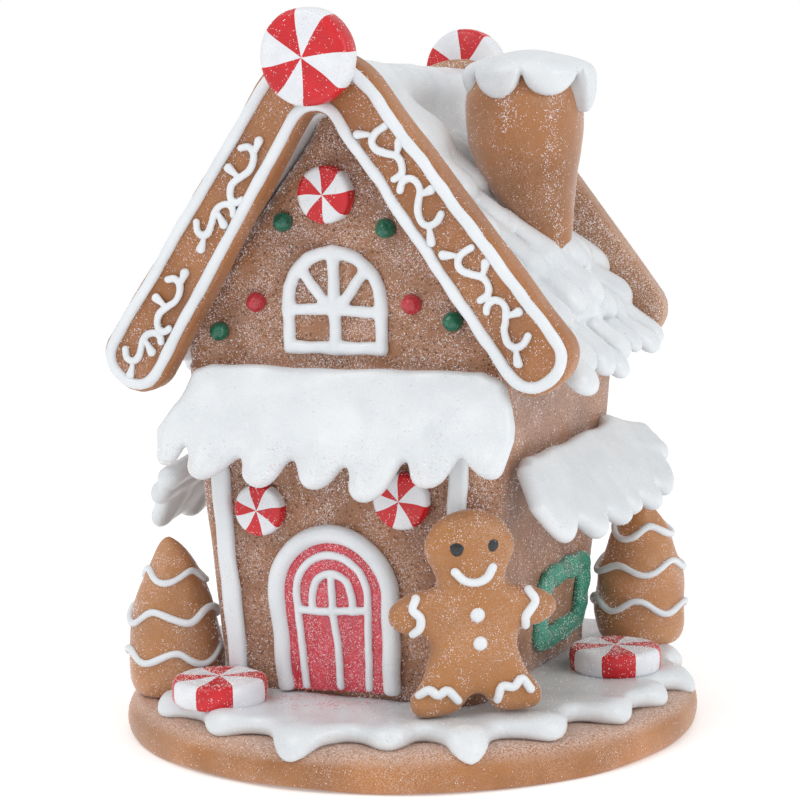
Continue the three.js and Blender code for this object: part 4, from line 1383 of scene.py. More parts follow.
@dataclass
class GableBoards:
    """The two chevron boards at the ends of the roof, with their piping and scrolls."""

    thick: float = 8.0
    peak: float = 97.2
    outer_pitch: float = 53.1
    notch: float = 71.3
    inner_pitch: float = 55.8
    arm_pitch: float = 54.4
    arm_length: float = 95.4
    rounds: Triple = (20.0, 4.5, 8.6)
    edge: float = 1.8
    piping_inset: float = 2.4
    piping_radius: float = 1.5
    scroll_radius: float = 0.95
    left_stems: Sequence[Sequence[Pair]] = (
        ((11.4, 3.5), (13.2, 1.9), (13.1, 0), (11.4, -0.8), (8.6, -0.3), (6.2, 0.3), (3.8, 0), (2.2, -1.5),
         (2.2, -3.4), (3.4, -4.4)),
        ((-1.2, -4.5), (0.4, -3.5), (0.5, -1.6), (-1.4, -0.3), (-3.5, 0), (-6.2, -1.1), (-8.9, -2.2),
         (-11.6, -2), (-13.5, -0.8), (-13.8, 1.1), (-12.3, 2.7)))
    left_dabs: Sequence[tuple[Pair, Pair]] = (
        ((16.6, -1.2), (14.3, -0.7)), ((7.2, -3.4), (5.9, -0.8)), ((-6, 2.9), (-5.9, 0.3)),
        ((-16.8, -0.6), (-14.3, -1.1)))
    right_stems: Sequence[Sequence[Pair]] = (
        ((-13.2, 4.2), (-13.4, 1.2), (-12.4, -1.1), (-10.4, -1.5), (-8.2, -0.1), (-5.6, 2), (-3.3, 2),
         (-1.5, 0.5), (-1.6, -2.2)),
        ((1.6, -2.5), (0.4, -1.1), (0.4, 0.9), (1.9, 2.3), (4.1, 2.1), (6.2, 0.2), (8.3, -1.8),
         (10.9, -2.7), (12.8, -1.8), (13.4, 0.4), (12.6, 2.8)))
    right_dabs: Sequence[tuple[Pair, Pair]] = (
        ((-16, -3.1), (-14.2, -0.7)), ((-7.9, 4.8), (-6.4, 2.8)), ((6.3, 4.3), (5.8, 1.9)),
        ((16.4, -3.7), (13.6, -2.1)))
    front: FaceFrame = FaceFrame(2.3, -51.6, 100, 0, 5)
    rear: FaceFrame = FaceFrame(-3, 50.4, 100, 180, 1)

    def outline(self, inset: float) -> Array:
        """The board's outline, drawn in by some distance.

        Args:
            inset: how far it is drawn in.

        Returns:
            The outline's points.
        """
        arm = math.radians(self.arm_pitch)
        reach = self.arm_length - self.notch * math.sin(arm) - inset

        def corner(y: float, fall: float) -> tuple[float, float]:
            """Where a falling edge meets the arm's square end.

            Args:
                y: place up the piece.
                fall: pitch of the edge in degrees.

            Returns:
                The place.
            """
            slope = math.radians(fall)
            along = (reach + y * math.sin(arm)) / math.cos(arm - slope)
            return along * math.cos(slope), y - along * math.sin(slope)

        peak = self.peak - inset / math.cos(math.radians(self.outer_pitch))
        notch = self.notch + inset / math.cos(math.radians(self.inner_pitch))
        (ox, oy), (ix, iy) = corner(peak, self.outer_pitch), corner(notch, self.inner_pitch)
        outer, inner, end = self.rounds[0] - inset, self.rounds[1] + inset, self.rounds[2] - inset
        return rounded_outline([(0, peak, outer), (-ox, oy, end), (-ix, iy, end), (0, notch, inner),
                                (ix, iy, end), (ox, oy, end)])

    @staticmethod
    def settled(points: Array) -> Array:
        """The front board as it was put on: a little to the left and lower on that side."""
        x, y = points[:, 0], points[:, 1]
        return points + np.stack([0.012 * y - 1.9, 0.022 * x, 0 * x], 1)

    @staticmethod
    def settled_rear(points: Array) -> Array:
        """The rear board as it was put on: higher on the right, with that arm cut a little shorter.

        Args:
            points: points in mm.

        Returns:
            The moved points.
        """
        x = points[:, 0]
        right = np.clip(-x / 58, 0, 1)
        return points + np.stack([2.6 * right**2, 5.4 * right**1.5, 0 * x], 1)

    def board(self, name: str, frame: FaceFrame, seed: int) -> list[Piece]:
        """One board and its loop of piping.

        Args:
            name: which one, front or rear.
            frame: where it hangs.
            seed: which unevenness.

        Returns:
            The board and its piping.
        """
        volume = ClayVolume((-84, -42, -self.thick), (84, 94, 0), 0.95)
        volume.slab(self.outline(0), -self.thick, 0, self.edge)
        shell = volume.skin(2).handled(0.2, 26, seed)
        loop = evened(self.outline(self.piping_inset), 1.3, True)
        path = raised(loop, 0.25)
        path += wobble(path, 14, 0.22, seed + 1) * [1, 1, 0.4]
        bead = sweep(path, np.array([0.0, 0.0, 1.0]), self.piping_radius, self.piping_radius, True, seed)
        settle = self.settled if name == "front" else self.settled_rear
        shell, bead = shell.moved(settle).moved(frame.place), bead.moved(settle)
        finish = Palette.BOARD if name == "front" else Palette.BOARD_DUSTED
        return [
            Piece(f"clay_gable_board_{name}", shell, [finish], [f"gable_board_{name}"], "clay"),
            Piece(f"icing_board_piping_{name}", bead.moved(frame.place), [Palette.PIPING],
                  [f"board_piping_{name}"], "icing"),
        ]

    def scroll(self, place: str, along: float, side: int) -> Piece:
        """One piped scroll: two hooked stems that meet in the middle, with four teardrop dabs.

        Args:
            place: upper or lower.
            along: how far down the arm its middle lies.
            side: 1 for the right arm and -1 for the left one.

        Returns:
            The scroll.
        """
        arm = math.radians(self.arm_pitch)
        middle = (self.peak + self.notch) / 2
        spot = [side * along * math.cos(arm), middle - along * math.sin(arm), 0.3]
        x, y, z = self.settled(np.array([spot]))[0]
        spot = self.front.at(x, y, z, -self.arm_pitch if side > 0 else 180 + self.arm_pitch)
        stems, dabs = (self.right_stems, self.right_dabs) if side > 0 else (self.left_stems, self.left_dabs)
        volume = ClayVolume((-20, -7, -1), (20, 7, 2.6), 0.3)
        r = self.scroll_radius
        level = 0.35

        def at(x: float, y: float) -> list[float]:
            """A point of the scroll: along the arm, out from its middle."""
            return [x, side * y, level]

        for stem in stems:
            volume.bead(spline([at(*p) for p in stem], 0.7), (r, r), 0.12)
        for tip, foot in dabs:
            volume.bead(np.array([at(*foot), at(*tip)]), (r * 0.75, r * 1.32), 0.25, 0.9)
        shell = volume.skin(2).handled(0.08, 5, int(along) + side).moved(spot.place)
        name = f"scroll_{place}_{'right' if side > 0 else 'left'}"
        return Piece(f"icing_{name}", shell, [Palette.PIPING], [name], "icing")

    def build(self) -> list[Piece]:
        """Both boards, their piping and the four scrolls of the front one.

        Returns:
            The pieces.
        """
        pieces = self.board("front", self.front, 41) + self.board("rear", self.rear, 47)
        for place, left, right in (("upper", 44.0, 41.3), ("lower", 85.0, 78.7)):
            pieces += [self.scroll(place, left, -1), self.scroll(place, right, 1)]
        return pieces


@dataclass
class Chimney:
    """The tapering chimney that grows out of the roof, with its cap of icing."""

    x: float = 34.9
    y: float = 3.0
    cap_x: float = 1.4
    rim: float = 177.0
    crown: float = 183.8
    cap_radius: float = 17.8
    cap_edge: float = 2.4
    profile: Sequence[Pair] = (
        (0.5, 113), (3.4, 114.5), (4.9, 124), (5.9, 131), (6.8, 135), (7.9, 138), (9.5, 141.5), (11.5, 146),
        (13.5, 152), (15.2, 158), (16.0, 165), (15.7, 172), (13.4, 177.5))
    bend: Sequence[Pair] = (
        (120, 5.4), (131, 5.4), (135, 5.0), (138, 4.4), (141.5, 3.2), (146, 1.8), (152, 0.5), (158, -0.3),
        (178, -0.3))
    drips: Sequence[Triple] = (
        (-104, 24, 6.2), (-50, 27, 5.8), (-4, 12.5, 9.8), (35, 24, 6.0), (88, 25, 7.0), (138, 24, 5.6),
        (175, 18, 6.5), (207, 17, 5.0))

    def build(self) -> list[Piece]:
        """The body, which bends towards the eave low down, and its cap.

        Returns:
            The pieces.
        """
        curve = np.concatenate([[(0, 113)], spline(self.profile, 1.4), [(8, 178), (0, 178)]])
        heights, shifts = np.array(self.bend).T

        def bent(points: Array) -> Array:
            """Shifts each level and stands the chimney in its place."""
            shift = np.interp(points[:, 2], heights, shifts)
            return points + np.stack([shift + self.x, 0.4 * shift + self.y, 0 * shift], 1)

        body = turned(curve, ring_angles(72)).moved(bent).handled(0.3, 30, 51)
        return [Piece("clay_chimney", body, [Palette.CHIMNEY], ["chimney"], "clay"),
                Piece("icing_chimney_cap", self.cap(), [Palette.ICING], ["chimney_icing"], "icing")]

    def cap(self) -> Shell:
        """A smooth low dome whose skirt hangs over the rim in round lobes.

        Returns:
            The cap.
        """
        reach = self.cap_radius + 2
        volume = ClayVolume((-reach, -reach, 163), (reach, reach, 185), 0.6)
        x, y, z = volume.places()
        angle = np.degrees(np.arctan2(y, x))
        hang = np.zeros_like(angle)
        for middle, spread, drop in self.drips:
            t = np.clip(np.abs((angle - middle + 180) % 360 - 180) / spread, 0, 1)
            hang = np.maximum(hang, drop * (1 - t**2) ** 0.65)
        radius = np.hypot(x, y)
        swell = 0.5 * hang / max(drop for _, _, drop in self.drips)
        across = radius - self.cap_radius - swell + self.cap_edge + 0 * z
        below = 0.6 * (self.rim - hang - z) + self.cap_edge
        above = z - self.crown + 0.014 * radius**2 + self.cap_edge
        parts = [across, below + 0 * across, above + 0 * across]
        body = np.minimum(np.maximum.reduce(parts), 0) - self.cap_edge
        volume.press(body + np.sqrt(sum(np.maximum(part, 0) ** 2 for part in parts)))
        shell = volume.skin(3).handled(0.2, 12, 57)
        return shell.moved(lambda p: p + [self.x + self.cap_x, self.y, 0])


class AwningPlace(Enum):
    """The four awnings, by the turn of the wall they hang on."""

    FRONT = 0
    RIGHT = 90
    REAR = 180
    LEFT = -90


@dataclass
class Awning:
    """A puffy sheet of icing that leans out from a wall and ends in thick drips.

    Each drip is its width, the share of it at which the tip lies, the depth of the tip and the
    depth of the valley that follows.
    """

    house: House
    place: AwningPlace
    top: float
    width: float
    shift: float
    tilt: float
    level: float
    drips: Sequence[tuple[float, float, float, float]]
    thick: float = 4.8
    slant: Pair = (0.0, 0.0)
    shoulder: float = 3.0
    fingers: int = 0
    twist: float = 0.0

    def lobed_edge(self, scale: float) -> Array:
        """The lower edge from left to right: round-ended drips with eased valleys between them.

        Args:
            scale: how much the drips are widened to fill the edge.

        Returns:
            The edge's points.
        """
        points = []
        x, valley = -self.width / 2, self.level
        for width, lean, tip, after in self.drips:
            for t in np.linspace(0, 1, 17)[:-1]:
                side, gone = (valley, 1 - t / lean) if t < lean else (after, (t - lean) / (1 - lean))
                points.append((x + width * scale * t, -side - (tip - side) * (1 - gone**2.3) ** 0.62))
            x, valley = x + width * scale, after
        edge = np.array(points + [(x, -valley)])
        for _ in range(5):
            edge[1:-1, 1] = (edge[:-2, 1] + 2 * edge[1:-1, 1] + edge[2:, 1]) / 4
        return edge

    def build(self) -> list[Piece]:
        """The sheet with its drips, hung on its wall.

        Returns:
            The pieces.
        """
        scale = self.width / sum(drip[0] for drip in self.drips)
        half = self.width / 2
        deepest = max(drip[2] for drip in self.drips)
        volume = ClayVolume((-half - 6, -deepest - 3, -1.5), (half + 8, 2, self.thick + 3), 0.75)
        left, right, turn = -half - self.slant[0], half + self.slant[1], self.shoulder
        corners = [(right, -turn), (right - turn * 0.3, -turn * 0.3),
                   (right - turn, 0), (left + 7, 0), (left + 2, -2),
                   (left, -7)]
        volume.slab(np.concatenate([corners, self.lobed_edge(scale)]), 0, self.thick, self.thick * 0.49)
        rng = np.random.default_rng(60 + int(self.top))
        x = -half
        middle = self.thick / 2
        for width, lean, tip, _ in self.drips:
            width *= scale
            r = min(width * 0.26, 4.0)
            flat = (self.thick / 2 + rng.uniform(0.3, 0.7)) / r
            spot = x + width * lean
            volume.tongue((spot + width * 0.12, -self.level * 0.7, middle - 0.5),
                          (spot, -tip + r * 0.9, middle),
                          (r * 0.8, r * 0.95), 1.4, flat)
            x += width
        for i in range(self.fingers):
            fall = self.level * (0.3 + 0.28 * i)
            volume.tongue((half - 12, -fall + 2, middle),
                          (half + 3.2 - 0.8 * i, -fall - 3.5, middle + 0.2), (3.8, 3.7),
                          0.8, 0.8)
        shell = volume.skin(3).handled(0.28, 15, 200 + self.place.value)
        wall = self.house.wall(self.place.value)

        def hang(points: Array) -> Array:
            """Swings the sheet out from the wall and keeps its back out of the wall.

            Args:
                points: points in mm.

            Returns:
                The moved points.
            """
            lean = np.radians(-self.tilt - self.twist * points[:, 0] / half)
            y = points[:, 1] * np.cos(lean) - points[:, 2] * np.sin(lean)
            z = points[:, 1] * np.sin(lean) + points[:, 2] * np.cos(lean)
            local = np.stack([points[:, 0] + self.shift, y + self.top - self.house.wall_floor, z + 0.2], 1)
            local[:, 2] = np.maximum(local[:, 2], -0.6)
            return wall.place(local)

        name = f"awning_{self.place.name.lower()}"
        return [Piece(f"icing_{name}", shell.moved(hang), [Palette.ICING], [name], "icing")]


@dataclass
class FrontWall:
    """What lies on the front wall: corner strips and the arched door."""

    house: House
    strip: Triple = (1.0, 80.0, 5.4)
    strip_ends: dict = field(default_factory=lambda: {"left": (-31.0, -36.7), "right": (31.0, 34.8)})
    half: float = 19.0
    spring: float = 26.0
    lean: float = 2.3
    frame_width: float = 4.9
    panel_depth: float = 1.9
    bar: float = 1.05

    def arch(self, half: float, spring: float, foot: float, base: float = 0.0) -> Array:
        """An arch that stands on its two feet, slightly drawn in at the bottom.

        Args:
            half: half its width.
            spring: height where the arc starts.
            foot: share of the width at the feet.
            base: height of the feet.

        Returns:
            The arch's points.
        """
        angles = np.radians(np.arange(0, 181, 12))
        head = np.stack([half * np.cos(angles), spring + half * np.sin(angles)], 1)
        return np.concatenate([[(half * foot, base)], head, [(-half * foot, base)]])

    def strips(self) -> list[Piece]:
        """The two rounded corner strips.

        Returns:
            The pieces.
        """
        bottom, top, width = self.strip
        pieces = []
        for name, (a, b) in self.strip_ends.items():
            half, side = width / 2, 1 if a > 0 else -1
            volume = ClayVolume((min(a, b) - 4, bottom, -0.8), (max(a, b) + 4, top, 2.4), 0.55)
            corners = [(a - half, bottom, 1.8), (a + half, bottom, 1.8),
                       (b + half, top, 1.8), (b - half, top, 1.8)]
            volume.slab(rounded_outline(corners), -0.8, 2.1, 1.4)
            shell = volume.skin(2).handled(0.18, 16, 71 + side).moved(self.house.wall(0).place)
            pieces.append(Piece(f"icing_corner_strip_{name}", shell, [Palette.PIPING],
                                [f"corner_strip_{name}"],
                                "icing"))
        return pieces

    def door(self) -> list[Piece]:
        """The frame, the glittered panel and the piping on it.

        Returns:
            The pieces.
        """
        place = self.house.wall(0).at(-1, 1, 0, self.lean)
        inner = self.half - self.frame_width
        volume = ClayVolume((-21, -0.5, -0.6), (21, 47, 4), 0.5)
        arch = evened(self.arch(self.half - self.frame_width / 2, self.spring, 0.93, 1.6), 1.5)
        r = self.frame_width / 2
        volume.bead(raised(arch, 1.5), (r, r), 0.0, 0.95)
        volume.trim((0, -0.2, 0), (0, -1, 0), 0.6)
        surround = volume.skin(2).handled(0.16, 14, 75)
        volume = ClayVolume((-17, -0.5, -0.6), (17, 43, 2.6), 0.75)
        volume.slab(self.arch(inner + 0.5, self.spring, 0.93), -0.6, self.panel_depth, 0.5)
        panel = volume.skin(1).handled(0.1, 9, 77)
        volume = ClayVolume((-13, 0, 0.6), (13, 39, 4), 0.36)
        level = self.panel_depth + 0.25
        runs = [evened(self.arch(10.4, 26.5, 0.88, 1.6), 1.0),
                spline([(-5.8, 22), (-5.7, 26.4), (-3.9, 30.4), (0, 32), (3.9, 30.4), (5.7, 26.4),
                        (5.8, 22)], 0.8),
                spline([(-9.9, 22.1), (-4, 21.7), (3, 22.0), (9.9, 22.4)], 1.0),
                spline([(0.9, 1.6), (0.9, 12), (0.1, 20), (0, 31.6)], 1.0)]
        for run in runs:
            volume.bead(raised(run, level), (self.bar, self.bar), 0.45)
        piping = volume.skin(2).handled(0.07, 7, 79)
        parts = (("icing_door_surround", surround, Palette.PIPING, "door_frame", "icing"),
                 ("door_panel_glittered", panel, Palette.DOOR_RED, "door_panel", "red"),
                 ("icing_door_piping", piping, Palette.PIPING, "door_piping", "icing"))
        return [Piece(name, shell.moved(place.place), [finish], [node], slot)
                for name, shell, finish, node, slot in parts]

    def build(self) -> list[Piece]:
        """Strips and door."""
        return self.strips() + self.door()


@dataclass
class GableWindow:
    """A round-headed window of piping with a cross and two slanting bars."""

    house: House
    half: float = 13.2
    bottom: float = 5.5
    spring: float = 17.8
    top: float = 30.4
    bar: float = 15.3
    radius: float = 1.75

    def build(self) -> list[Piece]:
        """The window on both gables.

        Returns:
            The pieces.
        """
        rise = self.top - self.spring
        angles = np.radians(np.arange(0, 181, 15))
        head = np.stack([self.half * np.cos(angles), self.spring + rise * np.sin(angles)], 1)
        loop = np.concatenate([[(self.half, self.bottom)], head, [(-self.half, self.bottom)],
                               [(self.half, self.bottom)]])
        volume = ClayVolume((-16, 3, -0.8), (16, 33, 3), 0.45)
        level, r = 0.7, self.radius
        h, s = self.half, self.spring + rise * 0.66
        runs = [(loop, r), ([(-h, self.bar), (-4, self.bar + 0.3), (h, self.bar - 0.4)], r * 0.85),
                ([(0.2, self.bottom), (0, self.bar), (0, self.top)], r * 0.95),
                ([(-2, self.bar + 1), (-h * 0.7, s)], r * 0.85),
                ([(2, self.bar + 1), (h * 0.7, s)], r * 0.85)]
        for run, radius in runs:
            volume.bead(raised(np.asarray(run, float), level), (radius, radius), 0.8, 0.9)
        shell = volume.skin(2).handled(0.14, 8, 81)
        return [Piece(f"icing_gable_window_{name}", shell.moved(self.house.gable(turn).place),
                      [Palette.PIPING],
                      [f"gable_window_{name}"], "icing") for name, turn in (("front", 0), ("rear", 180))]


@dataclass
class SideFrames:
    """The green glittered frame on each side wall."""

    house: House
    width: float = 40.0
    height: float = 24.0
    bar: float = 6.5
    depth: float = 3.2
    along: float = 14.0
    z: float = 32.0

    def build(self) -> list[Piece]:
        """A soft flat ring on the right and the left wall.

        Returns:
            The pieces.
        """
        pieces = []
        for name, turn, seed in (("right", 90, 85), ("left", -90, 87)):
            volume = ClayVolume((-21, -13, -0.6), (21, 13, self.depth + 0.5), 0.5)
            w, h = self.width / 2 - self.bar / 2, self.height / 2 - self.bar / 2
            ring = evened(rounded_outline([(-w, -h, 2.4), (w, -h, 2.4),
                                           (w, h, 2.4), (-w, h, 2.4)], 5), 2.0, True)
            loop = np.concatenate([ring, ring[:1]])
            volume.bead(raised(loop, 0.9), (self.bar / 2, self.bar / 2), 0.0, 0.66)
            shell = volume.skin(2).handled(0.3, 8, seed)
            side = 1 if turn > 0 else -1
            place = self.house.wall(turn).at(side * self.house.along(self.along),
                                             self.z - self.house.wall_floor)
            pieces.append(Piece(f"green_frame_{name}", shell.moved(place.place), [Palette.FRAME_GREEN],
                                [f"side_frame_{name}"], "green"))
        return pieces


@dataclass
class Peppermint:
    """A round striped sweet with eight hand-cut wedges."""

    name: str
    place: Place
    diameter: float
    thick: float
    edges: Sequence[float] = (0, 45, 90, 135, 180, 225, 270, 315)
    first_white: bool = True
    swirl: float = 6.0
    columns: int = 9

    def build(self) -> list[Piece]:
        """The sweet as one body whose faces are split along its wedges.

        Returns:
            The pieces.
        """
        r, t = self.diameter / 2, self.thick
        soft = min(t * 0.2, 1.3)
        levels = [(0.0, 0.0), (r * 0.5, 0.0), (r - soft, 0.0), (r - soft * 0.3, soft * 0.3), (r, soft)]
        levels += [(r + 0.12, t / 2), (r, t - soft), (r - soft * 0.3, t - soft * 0.3), (r - soft, t)]
        levels += [(r * share, t + 0.25 * (1 - share)) for share in (0.85, 0.7, 0.55, 0.4, 0.25, 0.12)]
        profile = np.array(levels + [(0.0, t + 0.3)])
        bounds = [90 - edge for edge in self.edges] + [90 - self.edges[0] - 360]
        angles = np.concatenate([np.linspace(a, b, self.columns, endpoint=False)
                                 for a, b in zip(bounds, bounds[1:])])[::-1]
        shell = turned(profile, np.radians(angles))
        radius = np.hypot(shell.points[:, 0], shell.points[:, 1])
        twist = np.radians(self.swirl) * np.sin(math.pi * np.clip(radius / r, 0, 1)) + 0 * radius
        cos, sin = np.cos(twist), np.sin(twist)
        x, y = shell.points[:, 0].copy(), shell.points[:, 1].copy()
        shell.points[:, 0], shell.points[:, 1] = x * cos - y * sin, x * sin + y * cos
        count = len(angles)
        wedge = (count - 1 - np.arange(count) - 1) % count // self.columns
        red = ((wedge + (0 if self.first_white else 1)) % 2).astype(int)
        shell.quad_finish = np.repeat(red, len(profile) - 3)
        shell.triangle_finish = np.tile(red, 2)
        shell = shell.handled(0.06, 9, len(self.name)).moved(self.place)
        return [Piece(f"{self.name}_sweet", shell, [Palette.MINT_WHITE, Palette.MINT_RED],
                      [self.name], "peppermint")]


def uneven_wedges(start: float, seed: int) -> list[float]:
    """Wedge edges in degrees clockwise from up, as uneven as if cut by hand."""
    rng = np.random.default_rng(seed)
    return [start + 45 * i + float(rng.uniform(-5, 5)) for i in range(8)]


def peppermints(house: House, boards: GableBoards) -> list[Peppermint]:
    """The seven sweets, each in its own place.

    Args:
        house: the house that they hang on.
        boards: the gable boards.

    Returns:
        The sweets.
    """
    gable, wall = house.gable(0), house.wall(0)
    floor = house.wall_floor - 0.7

    def lying(x: float, y: float) -> Place:
        """Puts a sweet flat on the icing."""
        return lambda points: points + [x, y, floor]

    return [
        Peppermint("mint_peak_front", boards.front.at(0.8, 82, 1.4).place, 24, 7.2,
                   (-6, 34, 86, 130, 183, 221, 260, 307), True, 3),
        Peppermint("mint_peak_rear", boards.rear.at(1, 81, 1.4).place, 24, 7.2, uneven_wedges(12, 3),
                   True, 3),
        Peppermint("mint_gable", gable.at(-0.5, 147.2 - house.set_back, -0.2).place, 14.8, 4.6,
                   (-8, 38, 82, 134, 178, 222, 268, 312), False, -4),
        Peppermint("mint_door_left", wall.at(-22.4, 64.2 - house.wall_floor, -0.2).place, 13.8, 4.4,
                   (-18, 28, 80, 128, 168, 214, 256, 294), False, 4),
        Peppermint("mint_door_right", wall.at(18.7, 68.8 - house.wall_floor, -0.2).place, 15, 4.4,
                   (-40, 2, 48, 98, 150, 196, 246, 290), True, 4),
        Peppermint("mint_ground_left", lying(-29.8, -57.9), 25, 6.6, uneven_wedges(133, 5), False, 5),
        Peppermint("mint_ground_right", lying(57, 10), 25, 6.6, uneven_wedges(135, 6), False, 5),
    ]


@dataclass
class Beads:
    """Small paste drops pressed on the front gable."""

    house: House
    drops: Sequence[tuple[str, float, float, float]] = (
        ("bead_green_1", 5.0, -13.9, 140.1), ("bead_green_2", 5.0, 15.2, 138.4),
        ("bead_green_3", 5.0, -34, 111.2), ("bead_green_4", 5.0, 33, 115),
        ("bead_red_1", 5.2, -22.7, 119.1), ("bead_red_2", 5.2, 21.7, 119.2))

    def build(self) -> list[Piece]:
        """Each drop as a squashed ball with a spread foot.

        Returns:
            The pieces.
        """
        pieces = []
        gable = self.house.gable(0)
        for i, (name, diameter, x, z) in enumerate(self.drops):
            r = diameter / 2
            profile = [(0.2, -0.4), (r * 0.9, -0.3), (r * 1.02, 0.5), (r, 1.5), (r * 0.78, 2.7),
                       (r * 0.42, 3.5), (0.2, 3.8)]
            curve = np.concatenate([[(0, -0.4)], spline(profile, 0.4), [(0, 3.8)]])
            shell = turned(curve, ring_angles(28)).handled(0.12, 4, 90 + i)
            place = gable.at(x, z - self.house.set_back)
            finish, slot = (Palette.BEAD_GREEN, "green") if "green" in name else (Palette.BEAD_RED, "red")
            pieces.append(Piece(f"{name}_drop", shell.moved(place.place), [finish], [name], slot))
        return pieces


@dataclass
class GingerbreadMan:
    """The cookie man beside the door, with his piping, buttons and eyes."""

    x: float = 41.3
    y: float = -51.6
    floor: float = 15.0
    facing: float = 33.0
    lean: float = 2.0
    thick: float = 8.0
    edge: float = 3.7
    half: Sequence[Pair] = (
        (0, 52.6), (7.4, 50.2), (11.2, 43.6), (8.9, 36.8), (9.2, 33.6), (15.6, 32.4), (20.6, 29.6),
        (21.2, 25.4), (17.4, 22.6), (12.4, 21.8), (10.9, 17), (13.4, 10.6), (17, 5), (15.4, 1.2), (10, 0.5),
        (5, 1.6), (2, 5.6), (0, 6.6))
    cuffs: dict = field(default_factory=lambda: {
        "man_mouth": ((-4.6, 38.3), (-2.4, 36), (0.6, 35.2), (3.4, 36.2), (5, 38.8)),
        "man_cuff_hand_left": ((-14.6, 32), (-15.8, 29.6), (-14, 27.4), (-14.2, 24.8), (-15.8, 23.2)),
        "man_cuff_hand_right": ((14.2, 32), (15.6, 29.4), (14.2, 27.2), (12.9, 25.4), (13, 23)),
        "man_cuff_foot_left": ((-15, 7.2), (-12.6, 8.6), (-10.4, 7.2), (-8, 8.2), (-5.4, 5.4)),
        "man_cuff_foot_right": ((4.8, 4.6), (6, 8), (9, 7.6), (11.2, 9.6), (13.4, 6.6))})

    def frame(self) -> FaceFrame:
        """The man's front face."""
        return FaceFrame(self.x, self.y, self.floor, self.facing, 0, self.lean)

    def crown(self, x: float, y: float) -> float:
        """How far the domed front stands out at a place: full inside, falling at the edge.

        Args:
            x: place across the piece.
            y: place up the piece.

        Returns:
            How far it lies behind the front plane.
        """
        right = [(px, py) for px, py in self.half]
        outline = np.array(right + [(-px, py) for px, py in reversed(right[1:-1])])
        inside = -float(outline_distance(outline, np.array([x]), np.array([y]))[0, 0])
        short = max(self.edge - inside, 0.0)
        return -(self.edge - math.sqrt(max(self.edge**2 - short**2, 0.0)))

    def build(self) -> list[Piece]:
        """The body, eyes, buttons and piping.

        Returns:
            The pieces.
        """
        place = self.frame().place
        right = [(px, py) for px, py in self.half]
        outline = spline(right + [(-px, py) for px, py in reversed(right[1:-1])], 1.0, True)
        volume = ClayVolume((-23, -0.5, -self.thick), (23, 54, 1), 0.66)
        volume.slab(outline, -self.thick, 0, self.edge)
        volume.tongue((0, 44, -2.6), (0, 44.5, -2.6), (6.5, 6.5), 4.0, 0.5)
        volume.tongue((0, 16, -2.8), (0, 27, -2.8), (6.5, 6.5), 4.0, 0.5)
        body = volume.skin(3).handled(0.22, 14, 101)
        pieces = [Piece("clay_man", body.moved(place), [Palette.FIGURE], ["man_body"], "clay")]
        spots = [("man_eye_left", -3.6, 44.2, 2.1, 1.0, Palette.EYE, "black"),
                 ("man_eye_right", 5.0, 44.4, 1.9, 1.0, Palette.EYE, "black"),
                 ("man_button_upper", 0.6, 27, 2.0, 1.5, Palette.PIPING, "icing"),
                 ("man_button_lower", 0.9, 19.6, 1.9, 1.5, Palette.PIPING, "icing")]
        for i, (name, x, y, r, high, finish, slot) in enumerate(spots):
            profile = [(0.1, -1.4), (r * 0.8, -1.3), (r, -0.3), (r * 0.97, high * 0.35),
                       (r * 0.72, high * 0.8),
                       (r * 0.3, high), (0.1, high)]
            curve = np.concatenate([[(0, -1.4)], spline(profile, 0.25), [(0, high)]])
            dot = turned(curve, ring_angles(26)).handled(0.06, 3, 105 + i)
            spot = self.frame().at(x, y, self.crown(x, y) + 0.45)
            pieces.append(Piece(f"{name}_dot", dot.moved(spot.place), [finish], [name], slot))
        for i, (name, line) in enumerate(self.cuffs.items()):
            run = spline(line, 0.7)
            path = np.array([(x, y, self.crown(x, y) + 0.55) for x, y in run])
            bead = sweep(path, np.array([0.0, 0.0, 1.0]), 1.15, 1.1, False, 110 + i, 14)
            pieces.append(Piece(f"icing_{name}", bead.moved(place), [Palette.PIPING], [name], "icing"))
        return pieces


@dataclass
class ConeTree:
    """A rounded cone tree with three wavy bands of piping."""

    name: str
    x: float
    y: float
    z: float
    phase: float
    seed: int
    band: float = 0.95
    profile: Sequence[Pair] = (
        (0.5, 0), (9, 0.1), (12, 2.6), (13, 8), (12.4, 18), (10.4, 26), (7.4, 33), (4.4, 39), (2, 42),
        (0.3, 43))

    def build(self) -> list[Piece]:
        """The cone and its bands.

        Returns:
            The pieces.
        """
        curve = spline(self.profile, 1.1)

        def carry(points: Array) -> Array:
            """Shapes by hand and stands the tree in its place."""
            shift = wobble(points, 16, 0.45, self.seed) * np.clip(points[:, 2:] / 6, 0, 1)
            return points + shift + [self.x, self.y, self.z]

        cone = turned(np.concatenate([[(0, 0)], curve, [(0, 43)]]), ring_angles(56)).moved(carry)
        pieces = [Piece(f"clay_tree_{self.name}", cone, [Palette.TREE], [f"tree_{self.name}"], "clay")]
        for i, (height, waves) in enumerate(((12, 5), (23, 4), (33, 3))):
            angles = ring_angles(40 * waves)
            swing = 1.7 * np.sin(waves * angles + self.phase + i) + 0.4 * np.sin(2 * angles + 2 * i)
            level = height + swing
            radius = np.interp(level, curve[:, 1], curve[:, 0]) + 0.35
            path = np.stack([radius * np.cos(angles), radius * np.sin(angles), level], 1)
            out = np.stack([np.cos(angles), np.sin(angles), 0.25 + 0 * angles], 1)
            bead = sweep(path[::2], out[::2], self.band, self.band, True, self.seed + i)
            node = f"tree_band_{self.name}_{i + 1}"
            pieces.append(Piece(f"icing_{node}", bead.moved(carry), [Palette.PIPING], [node], "icing"))
        return pieces


# ---------------------------------------------------------------- glitter


